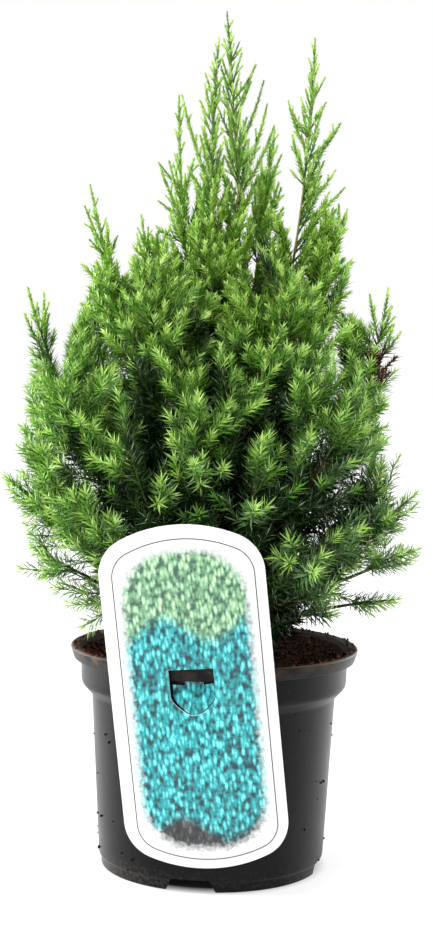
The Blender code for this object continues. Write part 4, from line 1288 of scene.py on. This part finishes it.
def stays(spine, limbPath, ends, space):
    # inside the crown, clear of pot and label, and not crowding another twig's end
    tip, middle = spine[-1], spine[len(spine) // 2]
    inBody = tip[2] < topAt(tip) and outerShare(tip) < 1.0
    if not inBody and nearPath(limbPath, tip) > changing(fine["nearLimb"], tip[2]):
        return False
    if not (isFree(tip, 2.5) and isFree(middle, 2.5)) or isHollow(tip) or isHollow(middle):
        return False
    return nearestEnd(ends, tip) > space


def nearestEnd(ends, point):
    return np.linalg.norm(ends["points"][:ends["count"]] - point, axis=1).min() if ends["count"] else math.inf


def keepEnd(ends, point):
    ends["points"][ends["count"]] = point
    ends["count"] += 1


def growOn(path, start, order, limbPath, ends, rng, found):
    rule = orders[order]
    length = path["length"]
    mark = max(start, length * rule["first"]) + rng.uniform(0, 3)
    turn = rng.uniform(0, math.tau)
    while mark < length - rule["endGap"]:
        root, along = pointAt(path, mark), headingAt(path, mark)
        height = grownHeight(root)
        if order == 0 and height - root[2] > fine["stray"][2] / 2:
            break
        share = (mark - start) / (length - start)
        reach = changing(rule["reach"], height) * (1 - rule["taper"] * share) * rng.uniform(0.7, 1.15)
        least = changing(rule["least"], height)
        reach = max(min(reach, changing(rule["ahead"], height) * (length - mark)), least)
        angle = math.radians(changing(rule["angle"], height) + rng.uniform(-8, 8))
        space = fine["crowding"][order] * changing(fine["crowdingShare"], height)
        placed = False
        for _ in range(fine["tries"]):
            way = sideWay(along, angle, turn, changing(rule["lift"], height))
            turn += math.radians(growth["golden"])
            for part in (1.0, 0.72, 0.5):
                if reach * part < least:
                    break
                spine = bentSpine(root, way, reach * part, changing(rule["bend"], height))
                if stays(spine, limbPath, ends, space):
                    keepEnd(ends, spine[-1])
                    found.append((order + 1, spine))
                    if order + 1 < len(orders):
                        growOn(makePath(spine), 0.0, order + 1, limbPath, ends, rng, found)
                    placed = True
                    break
            if placed:
                break
        mark += changing(rule["spacing"], height) * rng.uniform(0.8, 1.2)


def rootsOf(found):
    # where a shoot may start: on the limbs and on the lower half of the shoots
    roots = [point for limb in limbs for point in stretch(limb["path"], limb["start"], limb["path"]["length"], 30)]
    for order, spine in found:
        if order == 1:
            path = makePath(spine)
            roots += list(pointAt(path, np.linspace(0.15, 0.6, 3) * path["length"]))
    return np.array([point for point in roots if point[2] < fine["bodyTo"][0] and outerShare(point) < 0.9])


def growTo(target, roots, rule, ends, rng, found):
    # a shoot that sags a little, from the nearest root that it can rise from
    near, far = rule["reach"]
    way = target - roots
    away = np.linalg.norm(way, axis=1)
    outward = unit(np.array([target[0], target[1], 0.0]))
    fit = (away > near) & (away < far) & (way[:, 2] > changing(rule["rise"], target[2]) * away)
    fit &= way @ outward > rule["outward"] * away
    if not fit.any():
        return
    best = int(np.where(fit, away, math.inf).argmin())
    sag = np.array([0, 0, 0.22 * away[best]])
    spine = [roots[best] + way[best] * t - sag * t * (1 - t) for t in (0, 0.25, 0.5, 0.75, 1.0)]
    if not all(isFree(point, 2.0) for point in spine[1:]) or isHollow(spine[3]):
        return
    keepEnd(ends, target)
    found.append((1, spine))
    if rule["twigs"]:
        growOn(makePath(spine), 0.0, 1, makePath(spine), ends, rng, found)


def growFillers(ends, found):
    rng = random.Random(fine["seed"] + 1)
    roots = rootsOf(found)
    for target in edgeTips:
        growTo(np.array(target, float), roots, edges, ends, rng, found)
    low, high = outline["heights"][0] + 8, sum(fine["bodyTo"][:2])
    for rule in fillers:
        for _ in range(rule["tries"]):
            turn = math.radians(rng.choice((-90, 90)) + rng.uniform(-rule["spread"], rule["spread"]))
            height = rng.uniform(low, high)
            aim = np.array([math.sin(turn), -math.cos(turn), 0.0])
            foot = np.array([0, 0, height])
            target = foot + aim * rng.uniform(*rule["depth"]) / outerShare(foot + aim)
            space = rule["space"] * changing(fine["crowdingShare"], height)
            if nearestEnd(ends, target) < space or not isFree(target, 2.5) or isHollow(target):
                continue
            if height < topAt(target):
                growTo(target, roots, rule, ends, rng, found)


def growArms(name, path, start, ends, rng, found):
    for *tip, leaves in arms.get(name, []):
        mark = max(np.interp(leaves, path["points"][:, 2], path["marks"]), start + 1)
        spine = shootSpine(pointAt(path, mark), np.array(tip), headingAt(path, mark))
        keepEnd(ends, spine[-1])
        found.append((1, spine))
        growOn(makePath(spine), 0.0, 1, path, ends, rng, found)


def markAtHeight(path, height):
    above = [mark for mark, point in zip(path["marks"], path["points"]) if grownHeight(point) > height]
    return above[0] if above else path["length"]


def growCrown():
    wood, cells = newField(), newField()
    for a, b in zip(trunkRows, trunkRows[1:]):
        addWood(wood, [a[:3], b[:3]], -1, max(a[3], b[3]))
    for limb in limbs:
        if limb["bough"]:
            addWood(wood, stretch(limb["path"], limb["start"], limb["boughEnd"], 3), limb["index"],
                    limb["rootRadius"])
        addWood(cells, stretch(limb["path"], limb["foliage"], limb["path"]["length"], 12), limb["index"], 0.0)
    ends = {"points": np.zeros((20000, 3)), "count": 0}
    for limb in limbs:
        growMass(limb, cells, wood)
        low = [spine for spine in limb["spines"][limb["known"]:] if grownHeight(spine[-1]) < fine["leaderFrom"]]
        limb["spines"] = limb["spines"][:limb["known"]] + low
        for spine in limb["spines"]:
            keepEnd(ends, spine[-1])
    sprays = []
    for limb in limbs:
        rng = random.Random(fine["seed"] * 100 + limb["index"])
        sprays += [(1, spine) for spine in limb["spines"]]
        for spine in limb["spines"]:
            growOn(makePath(spine), 0.0, 1, limb["path"], ends, rng, sprays)
        growArms(limb["name"], limb["path"], limb["start"], ends, rng, sprays)
        start = limb["boughEnd"] * 0.3 if limb["bough"] else limb["start"] + 5
        growOn(limb["path"], start, 0, limb["path"], ends, rng, sprays)
        leader = max(start, markAtHeight(limb["path"], fine["leaderFrom"]))
        if limb["name"] in arms:
            leader = max(leader, limb["path"]["length"] - fine["leaderTop"])
        growOn(limb["path"], leader, 1, limb["path"], ends, rng, sprays)
    stem = makePath(trunkRows[:, :3])
    growArms("trunk", stem, 0.0, ends, random.Random(fine["seed"]), sprays)
    low, high = fine["fromTrunk"]
    upper = makePath(stretch(stem, low - trunkRows[0, 2], high - trunkRows[0, 2], 20))
    growOn(upper, 0.0, 0, stem, ends, random.Random(fine["seed"]), sprays)
    growFillers(ends, sprays)
    return sprays


limbs = [makeLimb(index, name, *row) for index, (name, row) in enumerate(limbTable.items())]
sprays = growCrown()
print("crown grown,", len(sprays), "shoots and twigs,", sum(len(limb["spines"]) for limb in limbs), "of them the CAD's")


# bark with its relief, on the trunk, the boughs and the bare stems

def barkMaterial():
    material, tree, shader = newMaterial("fibrousBark", Roughness=0.88, Specular_IOR_Level=0.25)
    place = tree.nodes.new("ShaderNodeTexCoord").outputs["Object"]
    strips = noiseOf(tree, place, 520.0, 4.0, 0.6, (1.0, 1.0, 0.10))
    old = use(tree, patches, Scale=120.0, Low=0.40, High=0.66)
    base = blend(tree, between(tree, strips, 0.36, 0.66), (0.065, 0.026, 0.014), (0.30, 0.145, 0.075))
    base = blend(tree, maths(tree, "MULTIPLY", old.outputs["Mask"], 0.45), base, (0.17, 0.12, 0.09))
    tree.links.new(base, shader.inputs["Base Color"])
    tree.links.new(bumpFrom(tree, strips, 0.8, 0.0006), shader.inputs["Normal"])
    return material


def barkTube(verts, faces, path, radiusAt, sides, gap, relief, seed):
    # rings square to a path, pushed in and out in strips that run along it
    count = max(3, int(path["length"] / gap))
    marks = np.linspace(0, path["length"], count + 1)
    side = None
    start = len(verts)
    for mark in marks:
        along = headingAt(path, min(max(mark, 0.6), path["length"] - 0.6))
        side = np.array(Vector(along).orthogonal()) if side is None else side
        side = unit(side - along * (side @ along))
        over = np.cross(along, side)
        centre, radius = pointAt(path, mark), radiusAt(mark)
        for n in range(sides):
            turn = math.tau * n / sides
            spot = Vector((math.cos(turn) * 2.4, math.sin(turn) * 2.4, mark * 0.045 + seed * 7.3))
            ridge = noise.fractal(spot, 0.9, 2.1, 4)
            flake = abs(noise.noise(Vector((spot.x * 2.3, spot.y * 2.3, spot.z * 3.1))))
            push = 1 + relief * (ridge - 0.8 * flake)
            arm = side * math.cos(turn) + over * math.sin(turn)
            verts.append(centre + arm * radius * push)
    for k in range(count):
        lower = start + k * sides
        for n in range(sides):
            on = (n + 1) % sides
            faces.append([lower + n, lower + on, lower + sides + on, lower + sides + n])
    faces.append([start + n for n in reversed(range(sides))])
    faces.append([start + count * sides + n for n in range(sides)])


def makeBark():
    verts, faces = [], []
    foot = trunkRows[0, 2]

    def slimmed(mark):
        # the top runs out into the leader's thin stem
        height = pointAt(stem, mark)[2]
        return trunkRadius(height) * float(np.interp(height, (235, 300), (1.0, 0.5)))

    rows = trunkRows[:, :3].copy()
    rows[0, 2] -= 2.2
    stem = makePath(rows)
    barkTube(verts, faces, stem, slimmed, trunk["sides"], trunk["ringGap"], trunk["relief"], 0)
    for vert in verts:
        turn = math.atan2(vert[1] - 2, vert[0])
        lobes = max(0.0, 1 - (vert[2] - foot) / 7) * 0.10 * math.sin(3 * turn + 0.7)
        vert[:2] += (vert[:2] - rows[0, :2]) * lobes
    replaced = ["trunk"]
    for limb in limbs:
        if not limb["bough"]:
            continue
        path, end, rootRadius = limb["path"], limb["boughEnd"], limb["rootRadius"]
        bough = makePath(stretch(path, 0, end + 1.5, 30))
        collar = limb["start"]

        def taper(mark):
            flare = 1 + 0.35 * max(0.0, 1 - mark / (collar + 5))
            return float(np.interp(mark, (0, end), (rootRadius, 1.2))) * flare

        barkTube(verts, faces, bough, taper, trunk["boughSides"], 1.8, 0.13, limb["index"] + 1)
        replaced.append("bough_" + limb["name"])
    return addPiece("barkedWood", meshFrom("barkedWood", verts, faces), barkMaterial(), replaced, 70)


makeBark()
print("bark made")


# twigs and needles

tones = {
    # two greens of one tone, the gap between its whorls, half a needle's width and its shine
    # the greens from Shade to Tip are lit and shaded copies of one green: painted shade deep in the crown, painted
    # light towards its outside, and near the shoots' ends also the lighter new growth
    "Shade": ((0.003, 0.008, 0.002), (0.008, 0.020, 0.005), 1.7, 0.75, 0.08),
    "Deep": ((0.008, 0.026, 0.005), (0.019, 0.056, 0.009), 1.3, 0.42, 0.25),
    "Mid": ((0.026, 0.083, 0.010), (0.057, 0.160, 0.018), 1.2, 0.39, 0.35),
    "Fresh": ((0.080, 0.230, 0.016), (0.160, 0.385, 0.036), 1.1, 0.39, 0.35),
    "Cool": ((0.066, 0.170, 0.030), (0.135, 0.290, 0.065), 1.15, 0.39, 0.35),
    "Tip": ((0.265, 0.495, 0.080), (0.480, 0.725, 0.180), 1.05, 0.39, 0.35),
    "Streak": ((0.150, 0.260, 0.120), (0.360, 0.500, 0.270), 3.6, 0.27, 0.35),
    "LeaderMid": ((0.185, 0.375, 0.038), (0.370, 0.620, 0.095), 0.95, 0.53, 0.35),
    "LeaderTip": ((0.400, 0.630, 0.125), (0.610, 0.830, 0.250), 0.9, 0.53, 0.35),
    "Withered": ((0.026, 0.012, 0.006), (0.150, 0.052, 0.026), 1.0, 0.55, 0.2),
}
# x, height and reach of small withered sprays on the front
withered = [(71.0, 228.0, 4.0), (69.0, 221.0, 4.0), (74.0, 223.0, 2.0), (73.0, 239.0, 1.5)]
woods = {
    "Brown": ((0.045, 0.021, 0.012), (0.115, 0.055, 0.028)),
    "Tan": ((0.240, 0.190, 0.080), (0.400, 0.340, 0.150)),
    "Green": ((0.070, 0.155, 0.020), (0.140, 0.265, 0.038)),
}
dealing = {
    "tip": 5.0,  # a twig's last stretch in the tip's tone
    "fresh": 13.0,
    "leaderTip": 4.0,
    "shadeTo": 0.46,  # shares of the way from the trunk to the crown's outline
    "deepTo": 0.88,
    "freshLitFrom": 0.72,
    "tipFrom": 0.80,
    "luck": 0.20,
    "leadersFrom": (225, 288),
    "darkLeaders": 0.78,
    # what is added to the shares by height, and more to the sides low down, which paints the upper crown and the low
    # sides lighter
    "byHeight": ((108, 132, 165, 190, 250), (-0.34, -0.16, -0.14, 0.07, 0.54)),
    "sides": ((150, 200), (0.0022, 0.0)),
    "streaked": 0.42,  # share of the shoots with some pale needles: painted highlights, and the needles' pale bands
    "greenTwigs": 0.8,
    "tanFrom": 298.0,
    "curled": 0.55,  # length of withered needles
    "witheredTo": 14.0,  # and how far back they stand
    "hollows": (0.8, 1.3),  # times a hollow's size, to the end of its shade and of the deep green round it
    "hollowTo": 0.97,
    "lean": 0.0016,  # less for every millimetre to the right: painted shade on the side away from the key light
    "cool": (112.0, 90.0, 0.5),  # shoot ends painted in a bluer, duller green as shade: in the lower crown, and to the right higher up
}


def toneMaterial(name, pair, roughness, shine):
    material, tree, shader = newMaterial(name, Roughness=roughness, Specular_IOR_Level=shine)
    fleck = use(tree, patches, Scale=260.0, Low=0.38, High=0.64)
    tree.links.new(blend(tree, fleck.outputs["Mask"], *pair), shader.inputs["Base Color"])
    return material


def newTree(name, inputs):
    tree = bpy.data.node_groups.new(name, "GeometryNodeTree")
    tree.interface.new_socket(name="Geometry", in_out="INPUT", socket_type="NodeSocketGeometry")
    sizes = {}
    for socket, kind in inputs.items():
        item = tree.interface.new_socket(name=socket, in_out="INPUT", socket_type="NodeSocket" + kind)
        sizes[socket] = item.identifier
    tree.interface.new_socket(name="Geometry", in_out="OUTPUT", socket_type="NodeSocketGeometry")
    return tree, sizes, tree.nodes.new("NodeGroupInput"), tree.nodes.new("NodeGroupOutput")


def reading(tree, name):
    return put(tree, "GeometryNodeInputNamedAttribute", {"Name": name}, data_type="FLOAT").outputs["Attribute"]


def randomOf(tree, low, high, seed):
    made = put(tree, "FunctionNodeRandomValue", {2: low, 3: high, "Seed": seed}, data_type="FLOAT")
    return made.outputs[1]


def turnedBy(tree, rotation, axis, angle):
    about = put(tree, "FunctionNodeAxisAngleToRotation", {"Axis": axis, "Angle": angle})
    made = put(tree, "FunctionNodeRotateRotation", {"Rotation": rotation, "Rotate By": about.outputs[0]},
               rotation_space="LOCAL")
    return made.outputs[0]


def needleTree():
    # whorls of awl-shaped needles along every twig, each whorl turned on from the last
    tree, sizes, given, out = newTree("needlesOnTwigs", {
        "Whorl gap": "Float", "Needles in a whorl": "Int", "Half width": "Float", "Flatness": "Float",
        "Seed": "Int", "Material": "Material"})
    curves = put(tree, "GeometryNodeMeshToCurve", {"Mesh": given.outputs["Geometry"]})
    even = put(tree, "GeometryNodeResampleCurve", {
        "Curve": curves.outputs[0], "Length": given.outputs["Whorl gap"]}, mode="LENGTH")
    points = put(tree, "GeometryNodeCurveToPoints", {"Curve": even.outputs[0]}, mode="EVALUATED")
    whorls = put(tree, "GeometryNodeDuplicateElements", {
        "Geometry": points.outputs["Points"], "Amount": given.outputs["Needles in a whorl"]}, domain="POINT")
    apart = maths(tree, "DIVIDE", math.tau, given.outputs["Needles in a whorl"])
    index = tree.nodes.new("GeometryNodeInputIndex").outputs[0]
    whorl = maths(tree, "FLOOR", maths(tree, "DIVIDE", index, given.outputs["Needles in a whorl"]))
    half = maths(tree, "MULTIPLY", maths(tree, "MODULO", whorl, 2.0), maths(tree, "DIVIDE", apart, 2.0))
    spin = maths(tree, "ADD", maths(tree, "MULTIPLY", whorls.outputs["Duplicate Index"], apart), half)
    spin = maths(tree, "ADD", spin, randomOf(tree, -0.35, 0.35, given.outputs["Seed"]))
    tilt = maths(tree, "ADD", reading(tree, "needleTilt"), randomOf(tree, -0.16, 0.16, given.outputs["Seed"]))
    aim = put(tree, "FunctionNodeAlignRotationToVector", {"Vector": points.outputs["Tangent"]}, axis="Z")
    rotation = turnedBy(tree, aim.outputs[0], (0, 0, 1), spin)
    rotation = turnedBy(tree, rotation, (1, 0, 0), tilt)
    shift = maths(tree, "ADD", given.outputs["Seed"], 5.0)
    length = maths(tree, "MULTIPLY", reading(tree, "needleLength"), randomOf(tree, 0.78, 1.12, shift))
    thick = maths(tree, "MULTIPLY", given.outputs["Half width"], given.outputs["Flatness"])
    scale = put(tree, "ShaderNodeCombineXYZ", {0: given.outputs["Half width"], 1: thick, 2: length})
    # a cone of four faces, its foot drawn to a point at the root and two side corners above it
    cone = put(tree, "GeometryNodeMeshCone", {
        "Vertices": 3, "Radius Top": 0.0, "Radius Bottom": 1.0, "Depth": 1.0})
    corner = put(tree, "ShaderNodeSeparateXYZ", {0: tree.nodes.new("GeometryNodeInputPosition").outputs[0]})
    across = maths(tree, "MULTIPLY", corner.outputs["Y"], 2 / math.sqrt(3))
    side = maths(tree, "ABSOLUTE", across)
    level = maths(tree, "ADD", corner.outputs["Z"], maths(tree, "MULTIPLY", side, 0.4))
    moved = put(tree, "ShaderNodeCombineXYZ", {0: across, 1: side, 2: level}).outputs[0]
    needle = put(tree, "GeometryNodeSetPosition", {"Geometry": cone.outputs["Mesh"], "Position": moved})
    placed = put(tree, "GeometryNodeInstanceOnPoints", {
        "Points": whorls.outputs["Geometry"], "Instance": needle.outputs[0], "Rotation": rotation,
        "Scale": scale.outputs[0]})
    real = put(tree, "GeometryNodeRealizeInstances", {"Geometry": placed.outputs[0]})
    flat = put(tree, "GeometryNodeSetShadeSmooth", {"Geometry": real.outputs[0], "Shade Smooth": False})
    done = put(tree, "GeometryNodeSetMaterial", {"Geometry": flat.outputs[0], "Material": given.outputs["Material"]})
    tree.links.new(done.outputs[0], out.inputs[0])
    return tree, sizes


def twigTree():
    # a round, tapering twig along every line
    tree, sizes, given, out = newTree("twigsOnLines", {"Sides": "Int", "Material": "Material"})
    curves = put(tree, "GeometryNodeMeshToCurve", {"Mesh": given.outputs["Geometry"]})
    ring = put(tree, "GeometryNodeCurvePrimitiveCircle", {"Resolution": given.outputs["Sides"], "Radius": 1.0})
    tubes = put(tree, "GeometryNodeCurveToMesh", {
        "Curve": curves.outputs[0], "Profile Curve": ring.outputs[0], "Scale": reading(tree, "twigRadius"),
        "Fill Caps": True})
    real = put(tree, "GeometryNodeRealizeInstances", {"Geometry": tubes.outputs[0]})
    done = put(tree, "GeometryNodeSetMaterial", {"Geometry": real.outputs[0], "Material": given.outputs["Material"]})
    tree.links.new(done.outputs[0], out.inputs[0])
    return tree, sizes


def toneAt(point, spare, luck):
    # the tone of a spray: painted shade the further in it stands and in the hollows, painted light higher up, to the
    # left and on the low sides, and lighter near its end, partly as new growth
    for x, height, reach in withered:
        if point[1] < dealing["witheredTo"] and math.hypot(point[0] - x, point[2] - height) < reach:
            return "Withered"
    hollow = nearest(darkPlaces, point)
    if hollow < dealing["hollows"][1] and outerShare(point) < dealing["hollowTo"]:
        return "Shade" if hollow < dealing["hollows"][0] else "Deep"
    low, high = dealing["leadersFrom"]
    outer = outerShare(point) + dealing["luck"] * (luck - 0.5)
    outer += np.interp(point[2], *dealing["byHeight"]) - dealing["lean"] * point[0]
    outer += np.interp(point[2], *dealing["sides"]) * abs(point[0])
    if grownHeight(point) > low + (high - low) * luck:
        if spare < dealing["leaderTip"]:
            return "LeaderTip"
        return "Fresh" if luck > dealing["darkLeaders"] else "LeaderMid"
    if outer < dealing["shadeTo"]:
        return "Shade"
    if spare < dealing["tip"] and outer > dealing["tipFrom"]:
        return "Tip"
    if spare < dealing["fresh"] and outer > dealing["freshLitFrom"]:
        coolTo, more, across = dealing["cool"]
        return "Cool" if point[2] < coolTo + more * luck + across * point[0] else "Fresh"
    return "Mid" if outer > dealing["deepTo"] else "Deep"


def addRun(batch, points, values):
    # one line of points with their values
    start = len(batch["points"])
    batch["points"].extend(points)
    batch["edges"].extend((start + k, start + k + 1) for k in range(len(points) - 1))
    for name, numbers in values.items():
        batch.setdefault(name, []).extend(numbers)


def batchMesh(name, batch, names):
    mesh = bpy.data.meshes.new(name)
    mesh.from_pydata([tuple(p * mm) for p in batch["points"]], batch["edges"], [])
    for attribute in names:
        layer = mesh.attributes.new(attribute, "FLOAT", "POINT")
        layer.data.foreach_set("value", np.array(batch[attribute], np.float32))
    return mesh


def splitRuns(named):
    # neighbouring stretches of one tone
    start = 0
    for k in range(1, len(named)):
        if named[k] != named[start] or k == len(named) - 1:
            yield start, k
            start = k


def dressTwig(spine, order, rng, needleBatches, woodBatches, leafFrom=0.0):
    # order 0 is a stem, 1 a shoot and 2 a twig
    path = makePath(spine)
    height = grownHeight(path["points"][-1])
    length = path["length"] - min(changing(fine["endTrim"], height), path["length"] * 0.35)
    marks = np.linspace(0, length, max(2, round(length / fine["step"])) + 1)
    points = pointAt(path, marks)
    base = changing(fine[("stemRadius", "shootRadius", "twigRadius")[order]], height)
    radii = [max(fine["tipRadius"], base * (1 - 0.75 * m / length)) * mm for m in marks]
    kind = "Green" if order == 2 or (order == 1 and rng.random() < dealing["greenTwigs"]) else "Brown"
    if height > dealing["tanFrom"]:
        kind = "Tan" if order == 0 else "Green"
    addRun(woodBatches[kind], list(points), {"twigRadius": radii})
    kept = [k for k, m in enumerate(marks) if m >= leafFrom]
    if len(kept) < 2:
        return
    luck = rng.random()
    lengths, tilts, named = [], [], []
    for k in kept:
        point, spare = points[k], length - marks[k]
        high = grownHeight(point)
        shut = 1 - min(1.0, spare / changing(fine["opening"], high))
        full = changing(fine["needle"], high) * (1 - changing(fine["shorter"], high) * shut)
        lengths.append(min(full, max(roomAt(point), 0.5)) * mm)
        wide, close = changing(fine["needleTilt"], high), changing(fine["tipTilt"], high)
        tilts.append(math.radians(wide + (close - wide) * shut ** 1.5))
        named.append(toneAt(point, spare, luck))
        if named[-1] == "Withered":
            lengths[-1] *= dealing["curled"]
    places = [points[k] for k in kept]
    streaked = rng.random() < dealing["streaked"]
    for start, end in splitRuns(named):
        values = {"needleLength": lengths[start:end + 1], "needleTilt": tilts[start:end + 1]}
        addRun(needleBatches[named[start]], places[start:end + 1], values)
        # pale needles over some sprays: painted highlights, and the needles' pale bands
        if streaked and named[start] in ("Deep", "Mid", "Cool", "Fresh"):
            addRun(needleBatches["Streak"], places[start:end + 1], values)


def emptyBatch():
    return {"points": [], "edges": []}


def batchParts(batch, gap, perWhorl):
    # cuts a batch into parts that stay under the face limit
    points = np.array(batch["points"])
    lengths = [np.linalg.norm(points[b] - points[a]) for a, b in batch["edges"]]
    faces = sum(lengths) / gap * perWhorl * 4
    pieces = max(1, math.ceil(faces * 1.06 / fine["mostFaces"]))
    total, parts, current = sum(lengths), [], emptyBatch()
    budget, used, last = total / pieces, 0.0, -1
    attributes = [key for key in batch if key not in ("points", "edges")]
    for (a, b), length in zip(batch["edges"], lengths):
        if a != last:
            if used > budget * (len(parts) + 1) and len(parts) < pieces - 1:
                parts.append(current)
                current = emptyBatch()
            current["points"].append(points[a])
            for key in attributes:
                current.setdefault(key, []).append(batch[key][a])
        current["points"].append(points[b])
        for key in attributes:
            current.setdefault(key, []).append(batch[key][b])
        count = len(current["points"])
        current["edges"].append((count - 2, count - 1))
        used += length
        last = b
    return parts + [current]


def makeFoliage():
    rng = random.Random(fine["seed"])
    needles = {tone: emptyBatch() for tone in tones}
    wood = {kind: emptyBatch() for kind in woods}
    for limb in limbs:
        path, foliage = limb["path"], limb["foliage"]
        stem = list(stretch(path, max(0.0, foliage - 1.5), path["length"], 14))
        while len(stem) > 3 and nearest(skyPlaces, stem[-1]) < 1:
            stem.pop()
        dressTwig(stem, 0, rng, needles, wood, 0.55 * (path["length"] - foliage))
    for order, spine in sprays:
        low = order == 1 and grownHeight(spine[0]) < dealing["tanFrom"]
        dressTwig(spine, order, rng, needles, wood, 3.0 if low else 1.0)
    tree, sizes = twigTree()
    replaced = ["mass_" + limb["name"] for limb in limbs]
    for kind, batch in wood.items():
        material = toneMaterial("twig" + kind, woods[kind], 0.7, 0.3)
        mesh = runTree("twigs" + kind, batchMesh(kind, batch, ["twigRadius"]), tree, sizes,
                       {"Sides": 3, "Material": material})
        mesh.shade_smooth()
        addPiece("twigs" + kind, mesh, None, replaced)
    tree, sizes = needleTree()
    total = 0
    for tone, batch in needles.items():
        if not batch["points"]:
            continue
        *pair, gap, width, shine = tones[tone]
        material = toneMaterial("needle" + tone, pair, 0.48, shine)
        for number, part in enumerate(batchParts(batch, gap, 3), 1):
            name = f"needles{tone}{number}"
            mesh = runTree(name, batchMesh(name, part, ["needleLength", "needleTilt"]), tree, sizes, {
                "Whorl gap": gap * mm, "Needles in a whorl": 3, "Half width": width * mm,
                "Flatness": fine["flatness"], "Seed": number + len(tone), "Material": material})
            total += len(mesh.polygons)
            addPiece(name, mesh, None, replaced)
    print("needles:", total // 4)


makeFoliage()
print("foliage made")
